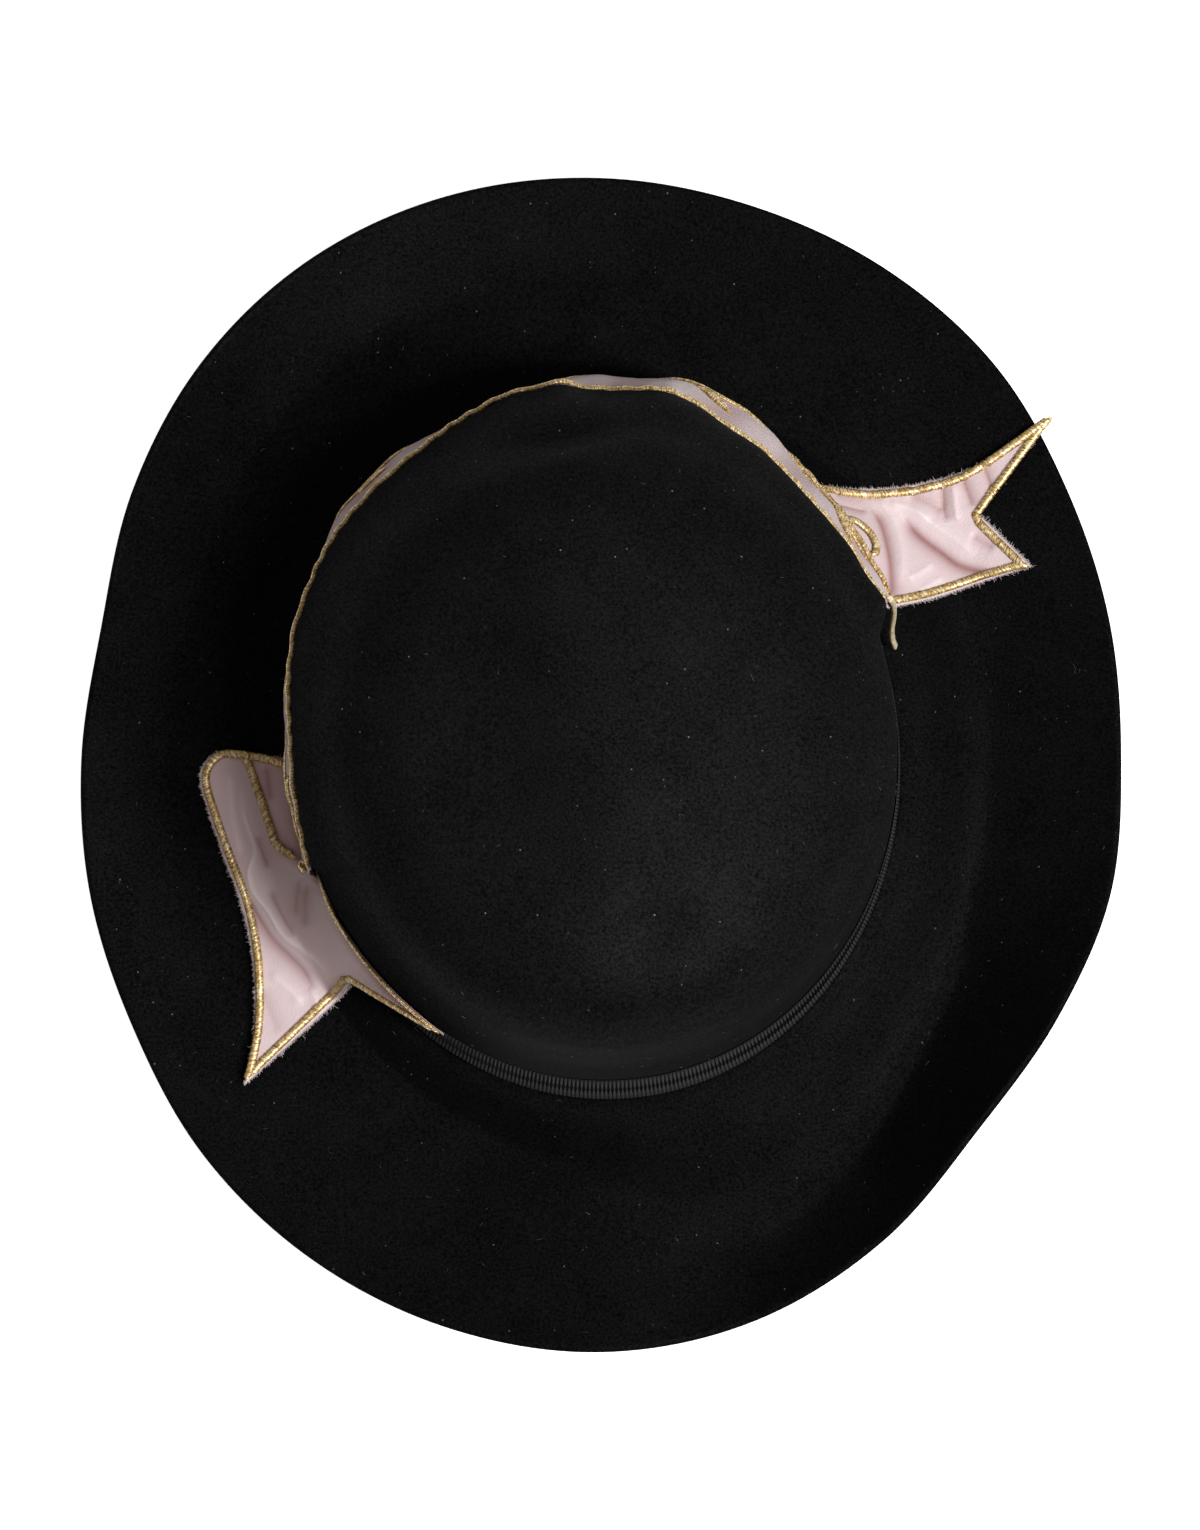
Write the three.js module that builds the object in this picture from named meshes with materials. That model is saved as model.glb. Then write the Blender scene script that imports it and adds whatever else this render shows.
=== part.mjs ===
// A wide-brim hat of black wool felt, resting on its brim.
// Round the crown sit a black grosgrain ribbon and a pink satin banner with gold edging,
// whose two swallow-tailed ends lie out over the brim.
// Millimetres, +Z up, the table is z = 0, the banner's middle and the hat's front face +Y.
// Angles are degrees about +Z, counted from +X towards +Y.
import * as THREE from "three";

// Felt
const FELT = 2.2; // thickness of the wall
const COLUMNS = 60; // faces round the hat
const CROWN_CORE = new THREE.Vector3(0, 0, 30); // dents push towards this point

// The crown at the middle of the felt: how far it reaches from the axis at each height
const CROWN_SECTIONS = [
  { height: 10.5, left: 91.8, right: 90.0, back: 102.0, front: 107.0, turn: 6 },
  { height: 11.8, left: 88.6, right: 86.9, back: 98.9, front: 104.0, turn: 6 },
  { height: 15.0, left: 87.2, right: 85.4, back: 97.4, front: 102.7, turn: 6 },
  { height: 38.0, left: 86.0, right: 84.1, back: 93.0, front: 101.6, turn: 6 },
  { height: 57.0, left: 85.0, right: 82.8, back: 89.6, front: 100.4, turn: 6 },
  { height: 78.0, left: 81.6, right: 79.8, back: 87.0, front: 95.6, turn: 4 },
  { height: 93.0, left: 77.0, right: 75.4, back: 84.4, front: 89.4, turn: 1 },
  { height: 101.5, left: 73.4, right: 71.8, back: 81.2, front: 84.6, turn: 0 },
  { height: 107.5, left: 67.6, right: 66.2, back: 75.6, front: 78.4, turn: 0 },
  { height: 111.5, left: 58.5, right: 57.0, back: 65.5, front: 67.5, turn: 0 },
  { height: 114.4, left: 42.0, right: 41.0, back: 47.5, front: 49.0, turn: 0 },
  { height: 116.2, left: 22.0, right: 21.5, back: 25.0, front: 26.0, turn: 0 },
];
const CROWN_TOP = 116.8;

// Soft dents of the crown, and one raised crest (negative depth).
// Each is a rounded oval: half-lengths along and across its own direction
const DENTS = [
  { x: -12, y: 85, height: 97, direction: 21, along: 21, across: 9, depth: 3.2 }, // front
  { x: 24, y: -58, height: 111, direction: 10, along: 11, across: 9, depth: 2.4 }, // back right
  { x: -33, y: -2, height: 113, direction: 100, along: 34, across: 19, depth: 1.8 }, // left
  { x: 6, y: -2, height: 115, direction: -63, along: 52, across: 13, depth: -1.2 }, // crest
];

// The brim's raw edge: how far it reaches from the axis and how high it stands off the table
const BRIM_EDGE = [
  { angle: 0, reach: 152.2, rise: 5.0 },
  { angle: 15, reach: 154.7, rise: 4.4 },
  { angle: 30, reach: 158.9, rise: 4.0 },
  { angle: 45, reach: 165.0, rise: 4.0 },
  { angle: 60, reach: 168.2, rise: 4.2 },
  { angle: 75, reach: 170.2, rise: 5.0 },
  { angle: 90, reach: 172.1, rise: 6.5 },
  { angle: 105, reach: 172.3, rise: 8.5 },
  { angle: 120, reach: 169.5, rise: 11.0 },
  { angle: 135, reach: 164.2, rise: 12.5 },
  { angle: 150, reach: 157.6, rise: 11.0 },
  { angle: 165, reach: 151.1, rise: 8.0 },
  { angle: 180, reach: 151.8, rise: 6.0 },
  { angle: 195, reach: 154.2, rise: 5.5 },
  { angle: 210, reach: 157.2, rise: 5.5 },
  { angle: 225, reach: 163.3, rise: 6.0 },
  { angle: 240, reach: 168.0, rise: 6.5 },
  { angle: 255, reach: 171.1, rise: 7.0 },
  { angle: 270, reach: 172.3, rise: 7.0 },
  { angle: 285, reach: 169.5, rise: 8.0 },
  { angle: 300, reach: 162.1, rise: 13.0 },
  { angle: 315, reach: 152.7, rise: 25.0 },
  { angle: 330, reach: 151.8, rise: 23.0 },
  { angle: 345, reach: 153.6, rise: 9.0 },
];
// Share of the brim's width, from the crown outwards, where each row of faces lies
const BRIM_SHARES = [0.1, 0.22, 0.34, 0.46, 0.56, 0.66, 0.76, 0.85, 0.93, 1];
const BRIM_TOUCHES = 0.42; // share at which the brim reaches the table
const BRIM_LEAVES = 0.58; // share at which it leaves the table again
const CURL_HIGH = 25; // an edge that rises this much
const CURL_LATER = 0.1; // leaves the table later by this share, and turns up sharply
const CURL_POWER = 1.5;

// Grosgrain ribbon round the foot of the crown
const GAP = 0.35; // what touches is drawn this far apart
const GROSGRAIN = { thickness: 0.7, heights: [15.5, 27, 39.5] };

// Satin banner round the left, front and right of the crown: it leans away from the felt
const SATIN = 1.0; // two layers of satin over a thin backing
const BANNER = { bottom: 17, top: 58.5, start: 203, end: 27, steps: 44, rows: 5 };
// Gap between the felt and the banner's inner face, along its top and its bottom edge
const BANNER_LEAN = [
  { angle: 27, top: 2.0, bottom: 5.0 },
  { angle: 38, top: 0.6, bottom: 4.6 },
  { angle: 50, top: 0.4, bottom: 4.6 },
  { angle: 62, top: 0.4, bottom: 6.4 },
  { angle: 73, top: 0.8, bottom: 8.4 },
  { angle: 82, top: 1.2, bottom: 7.0 },
  { angle: 90, top: 0.4, bottom: 6.4 },
  { angle: 97, top: 1.6, bottom: 5.0 },
  { angle: 107, top: 1.0, bottom: 3.0 },
  { angle: 117, top: 0.5, bottom: 3.4 },
  { angle: 128, top: 0.5, bottom: 4.4 },
  { angle: 140, top: 0.8, bottom: 3.0 },
  { angle: 153, top: 1.5, bottom: 2.4 },
  { angle: 168, top: 0.5, bottom: 1.8 },
  { angle: 185, top: 0.4, bottom: 1.8 },
  { angle: 203, top: 0.4, bottom: 2.2 },
];
const CLEAR_OF_RIBBON = GAP + GROSGRAIN.thickness + 0.4; // least gap while beside the grosgrain
const RIBBON_SHARE = 0.6; // the grosgrain's top edge, as a share of the banner's height

// Left tail: stations from its folded corner to its two points. x and y give the outer border,
// crownAngle and crownHeight the place on the crown that the inner border leans against
const LEFT_TAIL = [
  { x: -107.0, y: 2.4, crownAngle: 180.6, crownHeight: 13.6 },
  { x: -113.6, y: 1.4, crownAngle: 182, crownHeight: 13.6 },
  { x: -117.4, y: -5.0, crownAngle: 186, crownHeight: 13.6 },
  { x: -114.4, y: -16.5, crownAngle: 193, crownHeight: 13.6 },
  { x: -110.0, y: -29.0, crownAngle: 199.5, crownHeight: 13.6 },
  { x: -107.2, y: -36.0, crownAngle: 204.6, crownHeight: 14.4 },
  { x: -104.8, y: -43.5, crownAngle: 210, crownHeight: 27 },
  { x: -102.2, y: -54.5, crownAngle: 216.2, crownHeight: 35.5 },
  { x: -101.0, y: -66.0, crownAngle: 223.2, crownHeight: 36.5 },
  { x: -101.2, y: -80.0, crownAngle: 231.8, crownHeight: 32 },
  { x: -103.8, y: -95.0, crownAngle: 240.8, crownHeight: 26 },
];
const LEFT_NOTCH = { share: 0.62, depth: 21, towards: [-0.21, 0.98] };
const LEFT_LEAN = { standOff: 1.95, reach: 17, power: 1.4 }; // slope up against the crown

// Right tail: stations from under the banner to its two points, front border and back border
const RIGHT_TAIL = [
  { frontX: 60.5, frontY: 80.8, backX: 84.0, backY: 44.2 },
  { frontX: 74.8, frontY: 80.3, backX: 92.5, backY: 46.2 },
  { frontX: 86.0, frontY: 80.6, backX: 99.0, backY: 48.2 },
  { frontX: 97.0, frontY: 82.4, backX: 106.0, backY: 50.6 },
  { frontX: 110.5, frontY: 86.9, backX: 115.5, backY: 53.8 },
  { frontX: 133.3, frontY: 101.6, backX: 126.8, backY: 57.1 },
];
const RIGHT_NOTCH = { share: 0.7, depth: 17.4, towards: [-0.99, 0.14] };

const NOTCH_FADE = 2; // how fast a notch dies away towards the tail's root
const TAIL_GAP = 0.7; // a tail lies this far above the curved brim
const TAIL_STEPS = { left: 20, right: 12, across: 8 };

// Gold edging: a satin-stitched cord along each border, seen as (u, v) places on its sheet
const CORD = { radius: 1.0, sides: 5, inset: 1.7, spacing: 6 }; // inset: from the cut edge
const THIN_CORD = { radius: 0.7, sides: 5, inset: 1.2, spacing: 4 };
// Each border runs along one edge of its sheet, from one share of that edge to another: u0 and u1
// are the sheet's start and end, v0 and v1 its two sides
const BAND_TOP = { edge: "v1", from: 0.004, to: 0.996, places: 45 };
const BAND_BOTTOM = { edge: "v0", from: 0.004, to: 0.996, places: 45 };
const LEFT_CORNER = { edge: "u0", from: 0.86, to: 0.3, places: 4 };
const LEFT_OUTER = { edge: "v0", from: 0.07, to: 0.965, places: 24 };
const LEFT_END = { edge: "u1", from: 0.16, to: 0.93, places: 15 };
const LEFT_CROWN = { edge: "v1", from: 0.62, to: 0.93, places: 12 };
const RIGHT_FRONT = { edge: "v0", from: 0.1, to: 0.965, places: 14 };
const RIGHT_END = { edge: "u1", from: 0.16, to: 0.9, places: 14 };
const RIGHT_BACK = { edge: "v1", from: 0.1, to: 0.93, places: 10 };
// Cord inside the borders: the left tail's fold line and the right tail's curl
const FOLD_LINE = [
  { u: 0.13, v: 0.4 },
  { u: 0.17, v: 0.5 },
  { u: 0.235, v: 0.59 },
  { u: 0.3, v: 0.66 },
  { u: 0.35, v: 0.71 },
  { u: 0.375, v: 0.8 },
  { u: 0.385, v: 0.88 },
];
const CURL = [
  { u: 0.05, v: 0.31 },
  { u: 0.1, v: 0.3 },
  { u: 0.14, v: 0.36 },
  { u: 0.155, v: 0.45 },
  { u: 0.135, v: 0.55 },
  { u: 0.09, v: 0.61 },
];
const KNOT = { angle: 201.5, height: 46, radius: 1.4, out: 3.88, sides: 8, rings: 5 };
// A loose end of cord hangs down the crown beyond the banner's right end
const LOOSE_END = [
  { angle: 26.4, out: 3.1, height: 51 },
  { angle: 25.9, out: 3.6, height: 40 },
  { angle: 24.2, out: 3.7, height: 30 },
  { angle: 21.9, out: 3.6, height: 22 },
  { angle: 20.4, out: 4.4, height: 16.5 },
];
const LOOSE_CORD = { radius: 0.7, sides: 5, spacing: 4 };

// Gold embroidery on the banner's outer face: a waving stem with a leaf at each bend
const STEM = { radius: 0.7, sides: 5, spacing: 4.6, start: 0.04, end: 0.95 };
const WAVE = { middle: 0.495, swing: 7.5, bends: 11, places: 4 }; // middle: share of the height
const LEAF = { length: 6.3, width: 2.3, thickness: 1.1, fromStem: 5.4, lean: 32, sides: 6, rings: 4 };

const NUDGE = 0.01; // step in u or v over which a sheet's slope is measured
const AROUND = Array.from({ length: COLUMNS }, (_, i) => (i * 360) / COLUMNS);
const radians = THREE.MathUtils.degToRad;
const clamp = THREE.MathUtils.clamp;
const mix = THREE.MathUtils.lerp;

function curveValue(before, from, to, after, share) {
  // Catmull-Rom curve between from and to
  const slope = (to - before) / 2;
  const nextSlope = (after - from) / 2;
  const bend = 3 * (to - from) - 2 * slope - nextSlope;
  const twist = slope + nextSlope - 2 * (to - from);
  return from + share * (slope + share * (bend + share * twist));
}

function brimEdge(angle, column) {
  const step = 360 / BRIM_EDGE.length;
  const place = THREE.MathUtils.euclideanModulo(angle, 360) / step;
  const row = Math.floor(place);
  const value = (offset) => BRIM_EDGE[(row + offset + BRIM_EDGE.length) % BRIM_EDGE.length][column];
  return curveValue(value(-1), value(0), value(1), value(2), place - row);
}

function tableValue(table, column, place) {
  // place runs from 0 at the first row to 1 at the last
  const last = table.length - 1;
  const row = Math.min(Math.floor(place * last), last - 1);
  const value = (index) => table[clamp(index, 0, last)][column];
  return curveValue(value(row - 1), value(row), value(row + 1), value(row + 2), place * last - row);
}

function leanValue(angle, column) {
  const next = Math.max(1, BANNER_LEAN.findIndex((row) => row.angle >= angle));
  const from = BANNER_LEAN[next - 1];
  const to = BANNER_LEAN[next];
  return mix(from[column], to[column], clamp((angle - from.angle) / (to.angle - from.angle), 0, 1));
}

function ovalReach(section, angle) {
  const turned = radians(angle - section.turn);
  const sideways = Math.cos(turned) / (Math.cos(turned) > 0 ? section.right : section.left);
  const lengthways = Math.sin(turned) / (Math.sin(turned) > 0 ? section.front : section.back);
  return 1 / Math.hypot(sideways, lengthways);
}

function onCircle(angle, reach, height) {
  return new THREE.Vector3(Math.cos(radians(angle)) * reach, Math.sin(radians(angle)) * reach, height);
}

function angleOf(point) {
  return THREE.MathUtils.radToDeg(Math.atan2(point.y, point.x));
}

function dent(point) {
  // Moves a point of the crown in or out by the dents that it lies in
  const inward = CROWN_CORE.clone().sub(point).normalize();
  let depth = 0;
  for (const spot of DENTS) {
    const turn = radians(spot.direction);
    const dx = point.x - spot.x;
    const dy = point.y - spot.y;
    const along = (dx * Math.cos(turn) + dy * Math.sin(turn)) / spot.along;
    const sideways = -dx * Math.sin(turn) + dy * Math.cos(turn);
    const across = Math.hypot(sideways, point.z - spot.height) / spot.across;
    depth += spot.depth * Math.exp(-along * along - across * across);
  }
  return point.clone().addScaledVector(inward, depth);
}

function brimPoint(angle, share) {
  // The middle of the felt: down to the table, along it and up to the edge
  const root = CROWN_SECTIONS[0];
  const rise = brimEdge(angle, "rise");
  const leaves = BRIM_LEAVES + CURL_LATER * clamp(rise / CURL_HIGH, 0, 1);
  const fall = (root.height - FELT / 2) * (1 - THREE.MathUtils.smoothstep(share, 0, BRIM_TOUCHES));
  const lift = rise * clamp((share - leaves) / (1 - leaves), 0, 1) ** CURL_POWER;
  const reach = mix(ovalReach(root, angle), brimEdge(angle, "reach"), share);
  return onCircle(angle, reach, FELT / 2 + fall + lift);
}

function brimTop(point) {
  // Height of the brim's upper face under a point
  const angle = angleOf(point);
  const root = ovalReach(CROWN_SECTIONS[0], angle);
  const share = (Math.hypot(point.x, point.y) - root) / (brimEdge(angle, "reach") - root);
  return brimPoint(angle, clamp(share, 0, 1)).z + FELT / 2;
}

function crownFace(angle, height) {
  // Reach of the crown's outer face, straight between two sections
  const next = Math.max(1, CROWN_SECTIONS.findIndex((row) => row.height >= height));
  const from = CROWN_SECTIONS[next - 1];
  const to = CROWN_SECTIONS[next];
  const share = (height - from.height) / (to.height - from.height);
  return mix(ovalReach(from, angle), ovalReach(to, angle), share) + FELT / 2;
}

function solid(positions, faces) {
  // A closed body with its faces turned outwards
  let volume = 0;
  for (const [a, b, c] of faces) {
    volume += positions[a].dot(positions[b].clone().cross(positions[c]));
  }
  const outward = volume > 0 ? faces : faces.map(([a, b, c]) => [a, c, b]);
  const geometry = new THREE.BufferGeometry().setFromPoints(positions);
  geometry.setIndex(outward.flat());
  geometry.computeVertexNormals();
  return geometry;
}

function bridge(faces, first, second, count) {
  // Faces between two closed rings of count points
  for (let i = 0; i < count; i += 1) {
    const next = (i + 1) % count;
    faces.push([first + i, first + next, second + next], [first + i, second + next, second + i]);
  }
}

function fan(faces, ring, tip, count, flipped) {
  for (let i = 0; i < count; i += 1) {
    const next = (i + 1) % count;
    faces.push(flipped ? [tip, ring + next, ring + i] : [tip, ring + i, ring + next]);
  }
}

function feltGeometry() {
  // Rings of the middle of the felt, from the brim's edge up to the crown's tip
  const brim = [...BRIM_SHARES].reverse().map((share) => AROUND.map((a) => brimPoint(a, share)));
  const crown = CROWN_SECTIONS.map((row) => (
    AROUND.map((a) => dent(onCircle(a, ovalReach(row, a), row.height)))
  ));
  const rings = [...brim, ...crown];
  const tip = dent(new THREE.Vector3(0, 0, CROWN_TOP));
  const normalAt = (ring, column) => {
    if (rings[ring][column].z === FELT / 2) return new THREE.Vector3(0, 0, 1); // flat on the table
    const before = rings[Math.max(ring - 1, 0)][column];
    const after = ring + 1 < rings.length ? rings[ring + 1][column] : tip;
    const left = rings[ring][(column + COLUMNS - 1) % COLUMNS];
    const right = rings[ring][(column + 1) % COLUMNS];
    return right.clone().sub(left).cross(after.clone().sub(before)).normalize();
  };
  const layer = (offset) => rings.map((ring, r) => (
    ring.map((point, c) => point.clone().addScaledVector(normalAt(r, c), offset))
  ));
  const stack = [...layer(-FELT / 2).reverse(), ...layer(FELT / 2)];
  const positions = stack.flat();
  const faces = [];
  for (let r = 0; r + 1 < stack.length; r += 1) {
    bridge(faces, r * COLUMNS, (r + 1) * COLUMNS, COLUMNS);
  }
  const innerTip = positions.push(tip.clone().setZ(tip.z - FELT / 2)) - 1;
  const outerTip = positions.push(tip.clone().setZ(tip.z + FELT / 2)) - 1;
  fan(faces, 0, innerTip, COLUMNS, true);
  fan(faces, (stack.length - 1) * COLUMNS, outerTip, COLUMNS, false);
  return solid(positions, faces);
}

function grosgrainGeometry() {
  const ring = (height, out) => AROUND.map((a) => onCircle(a, crownFace(a, height) + out, height));
  const outer = GROSGRAIN.heights.map((height) => ring(height, GAP + GROSGRAIN.thickness));
  const inner = GROSGRAIN.heights.map((height) => ring(height, GAP));
  const stack = [...outer, ...inner.reverse()];
  const faces = [];
  for (let r = 0; r < stack.length; r += 1) {
    bridge(faces, r * COLUMNS, ((r + 1) % stack.length) * COLUMNS, COLUMNS);
  }
  return solid(stack.flat(), faces);
}

function surfaceNormal(surface, u, v) {
  const low = (value) => Math.max(value - NUDGE, 0);
  const high = (value) => Math.min(value + NUDGE, 1);
  const alongU = surface(high(u), v).sub(surface(low(u), v));
  const alongV = surface(u, high(v)).sub(surface(u, low(v)));
  return alongU.cross(alongV).normalize();
}

function sheetGeometry(surface, steps, rows, thickness) {
  // A sheet of cloth: surface(u, v) is its middle
  const positions = [];
  const faces = [];
  const stride = rows + 1;
  const layerSize = (steps + 1) * stride;
  for (const side of [0.5, -0.5]) {
    for (let i = 0; i <= steps; i += 1) {
      for (let j = 0; j <= rows; j += 1) {
        const normal = surfaceNormal(surface, i / steps, j / rows);
        positions.push(surface(i / steps, j / rows).addScaledVector(normal, side * thickness));
      }
    }
  }
  const quad = (a, b, c, d) => faces.push([a, b, c], [a, c, d]);
  for (let i = 0; i < steps; i += 1) {
    for (let j = 0; j < rows; j += 1) {
      const corner = i * stride + j;
      quad(corner, corner + stride, corner + stride + 1, corner + 1);
      const under = corner + layerSize;
      quad(under, under + 1, under + stride + 1, under + stride);
    }
  }
  for (let i = 0; i < steps; i += 1) {
    for (const [edge, turned] of [[i * stride, false], [i * stride + rows, true]]) {
      const ends = turned ? [edge + stride, edge] : [edge, edge + stride];
      quad(ends[1], ends[0], ends[0] + layerSize, ends[1] + layerSize);
    }
  }
  for (let j = 0; j < rows; j += 1) {
    for (const [edge, turned] of [[j, true], [steps * stride + j, false]]) {
      const ends = turned ? [edge + 1, edge] : [edge, edge + 1];
      quad(ends[1], ends[0], ends[0] + layerSize, ends[1] + layerSize);
    }
  }
  return solid(positions, faces);
}

function bannerPoint(u, v) {
  // u runs from the left end round the front to the right end, v from the bottom edge up
  const angle = mix(BANNER.start, BANNER.end, u);
  const height = mix(BANNER.bottom, BANNER.top, v);
  const top = leanValue(angle, "top");
  const lean = mix(leanValue(angle, "bottom"), top, v);
  const easing = Math.max(0, (v - RIBBON_SHARE) / (1 - RIBBON_SHARE));
  const clear = mix(CLEAR_OF_RIBBON, top, easing);
  return onCircle(angle, crownFace(angle, height) + Math.max(lean, clear) + SATIN / 2, height);
}

function notched(point, notch, u, v) {
  // Draws the end of a tail in, most at the notch and less towards its points and its root
  const share = v < notch.share ? v / notch.share : (1 - v) / (1 - notch.share);
  const depth = notch.depth * share * u ** NOTCH_FADE;
  return point.add(new THREE.Vector3(notch.towards[0] * depth, notch.towards[1] * depth, 0));
}

function leftTailPoint(u, v) {
  // v runs from the outer border to the crown
  const crownAngle = tableValue(LEFT_TAIL, "crownAngle", u);
  const crownHeight = tableValue(LEFT_TAIL, "crownHeight", u);
  const reach = crownFace(crownAngle, crownHeight) + LEFT_LEAN.standOff;
  const inner = onCircle(crownAngle, reach, 0);
  const outer = new THREE.Vector3(tableValue(LEFT_TAIL, "x", u), tableValue(LEFT_TAIL, "y", u), 0);
  const point = notched(outer.lerp(inner, v), LEFT_NOTCH, u, v);
  const away = Math.hypot(point.x, point.y) - crownFace(angleOf(point), crownHeight);
  const slope = clamp((LEFT_LEAN.reach - away) / (LEFT_LEAN.reach - LEFT_LEAN.standOff), 0, 1);
  const lying = brimTop(point) + TAIL_GAP + SATIN / 2;
  return point.setZ(mix(lying, Math.max(crownHeight, lying), slope ** LEFT_LEAN.power));
}

function rightTailPoint(u, v) {
  // v runs from the front border to the back border
  const value = (column) => tableValue(RIGHT_TAIL, column, u);
  const front = new THREE.Vector3(value("frontX"), value("frontY"), 0);
  const back = new THREE.Vector3(value("backX"), value("backY"), 0);
  const point = notched(front.lerp(back, v), RIGHT_NOTCH, u, v);
  return point.setZ(brimTop(point) + TAIL_GAP + SATIN / 2);
}

function tubeGeometry(points, cord) {
  const path = new THREE.CatmullRomCurve3(points, false, "centripetal");
  const corners = Array.from({ length: cord.sides }, (_, i) => {
    const turn = (i * 2 * Math.PI) / cord.sides;
    return new THREE.Vector2(cord.radius * Math.cos(turn), cord.radius * Math.sin(turn));
  });
  const steps = Math.ceil(path.getLength() / cord.spacing);
  const options = { steps, extrudePath: path, bevelEnabled: false };
  return new THREE.ExtrudeGeometry(new THREE.Shape(corners), options);
}

function faceFrame(surface, u, v, lift) {
  // A point lifted off the sheet's upper or outer face, with the face's normal there
  const point = surface(u, v);
  const normal = surfaceNormal(surface, u, v);
  if (normal.z + normal.dot(onCircle(angleOf(point), 1, 0)) < 0) normal.negate();
  return { point: point.addScaledVector(normal, SATIN / 2 + GAP + lift), normal };
}

function cordOnSheet(surface, places, cord) {
  const points = places.map(({ u, v }) => faceFrame(surface, u, v, cord.radius).point);
  return tubeGeometry(points, cord);
}

function edgePlaces(surface, border, cord) {
  // Places along a border, drawn in from the sheet's cut edge by the cord's inset
  const far = border.edge.endsWith("1");
  const acrossU = border.edge.startsWith("u");
  const place = (share, depth) => {
    const across = far ? 1 - depth : depth;
    return acrossU ? { u: across, v: share } : { u: share, v: across };
  };
  return Array.from({ length: border.places }, (_, i) => {
    const share = mix(border.from, border.to, i / (border.places - 1));
    const edge = place(share, 0);
    const beside = place(share, 2 * NUDGE);
    const step = surface(edge.u, edge.v).distanceTo(surface(beside.u, beside.v));
    return place(share, (2 * NUDGE * cord.inset) / step);
  });
}

function borderGeometry(surface, borders, cord) {
  return cordOnSheet(surface, borders.flatMap((border) => edgePlaces(surface, border, cord)), cord);
}

function leafGeometry(u, v, lean) {
  // A padded leaf on the banner, its length turned by lean degrees from the banner's run
  const { point, normal } = faceFrame(bannerPoint, u, v, LEAF.thickness);
  const run = new THREE.Vector3(0, 0, 1).cross(normal).normalize();
  const rising = normal.clone().cross(run);
  const frame = new THREE.Matrix4().makeBasis(run, rising, normal).setPosition(point);
  return new THREE.SphereGeometry(1, LEAF.sides, LEAF.rings)
    .scale(LEAF.length, LEAF.width, LEAF.thickness)
    .rotateZ(radians(lean))
    .applyMatrix4(frame);
}

const satin = { color: 0xe3c9cc, roughness: 0.42, metalness: 0 };
const gold = { color: 0xb8934a, roughness: 0.4, metalness: 0.6 };
const blackFelt = { color: 0x121216, roughness: 0.95, metalness: 0 };
const blackRibbon = { color: 0x0e0e12, roughness: 0.7, metalness: 0 };

const hat = new THREE.Group();

function add(name, geometry, finish) {
  const mesh = new THREE.Mesh(geometry, new THREE.MeshStandardMaterial(finish));
  mesh.name = name;
  hat.add(mesh);
  return mesh;
}

add("felt_body", feltGeometry(), blackFelt);
add("grosgrain_band", grosgrainGeometry(), blackRibbon);
add("banner_band", sheetGeometry(bannerPoint, BANNER.steps, BANNER.rows, SATIN), satin);
const { left, right, across } = TAIL_STEPS;
add("banner_tail_left", sheetGeometry(leftTailPoint, left, across, SATIN), satin);
add("banner_tail_right", sheetGeometry(rightTailPoint, right, across, SATIN), satin);

add("gold_edge_band_top", borderGeometry(bannerPoint, [BAND_TOP], CORD), gold);
add("gold_edge_band_bottom", borderGeometry(bannerPoint, [BAND_BOTTOM], CORD), gold);
add("gold_edge_left_long", borderGeometry(leftTailPoint, [LEFT_CORNER, LEFT_OUTER], CORD), gold);
add("gold_edge_left_end", borderGeometry(leftTailPoint, [LEFT_END], CORD), gold);
add("gold_edge_left_crown", borderGeometry(leftTailPoint, [LEFT_CROWN], THIN_CORD), gold);
add("gold_fold_left", cordOnSheet(leftTailPoint, FOLD_LINE, CORD), gold);
add("gold_edge_right_front", borderGeometry(rightTailPoint, [RIGHT_FRONT], CORD), gold);
add("gold_edge_right_end", borderGeometry(rightTailPoint, [RIGHT_END], CORD), gold);
add("gold_edge_right_back", borderGeometry(rightTailPoint, [RIGHT_BACK], CORD), gold);
add("gold_curl_right", cordOnSheet(rightTailPoint, CURL, CORD), gold);

const offCrown = ({ angle, height, out }) => onCircle(angle, crownFace(angle, height) + out, height);
add("gold_loose_end", tubeGeometry(LOOSE_END.map(offCrown), LOOSE_CORD), gold);
const knot = new THREE.SphereGeometry(KNOT.radius, KNOT.sides, KNOT.rings);
add("gold_knot", knot, gold).position.copy(offCrown(KNOT));

// The stem swings up and down between the banner's borders
const bannerHeight = BANNER.top - BANNER.bottom;
const stemPlace = (bend) => {
  const u = mix(STEM.start, STEM.end, bend / WAVE.bends);
  return { u, v: WAVE.middle + (WAVE.swing / bannerHeight) * Math.sin(bend * Math.PI) };
};
const stemCount = WAVE.places * WAVE.bends + 1;
const stemPlaces = Array.from({ length: stemCount }, (_, i) => stemPlace(i / WAVE.places));
add("gold_stem", cordOnSheet(bannerPoint, stemPlaces, STEM), gold);
for (let bend = 0; bend < WAVE.bends; bend += 1) {
  const up = bend % 2 === 0 ? 1 : -1;
  const { u } = stemPlace(bend + 0.5);
  const v = WAVE.middle + (up * (WAVE.swing + LEAF.fromStem)) / bannerHeight;
  add(`gold_leaf_${bend + 1}`, leafGeometry(u, v, up * LEAF.lean), gold);
}

export default hat;
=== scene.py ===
# A wide-brim hat of black wool felt, with a grosgrain ribbon and a pink satin banner edged in gold.
import math

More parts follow.
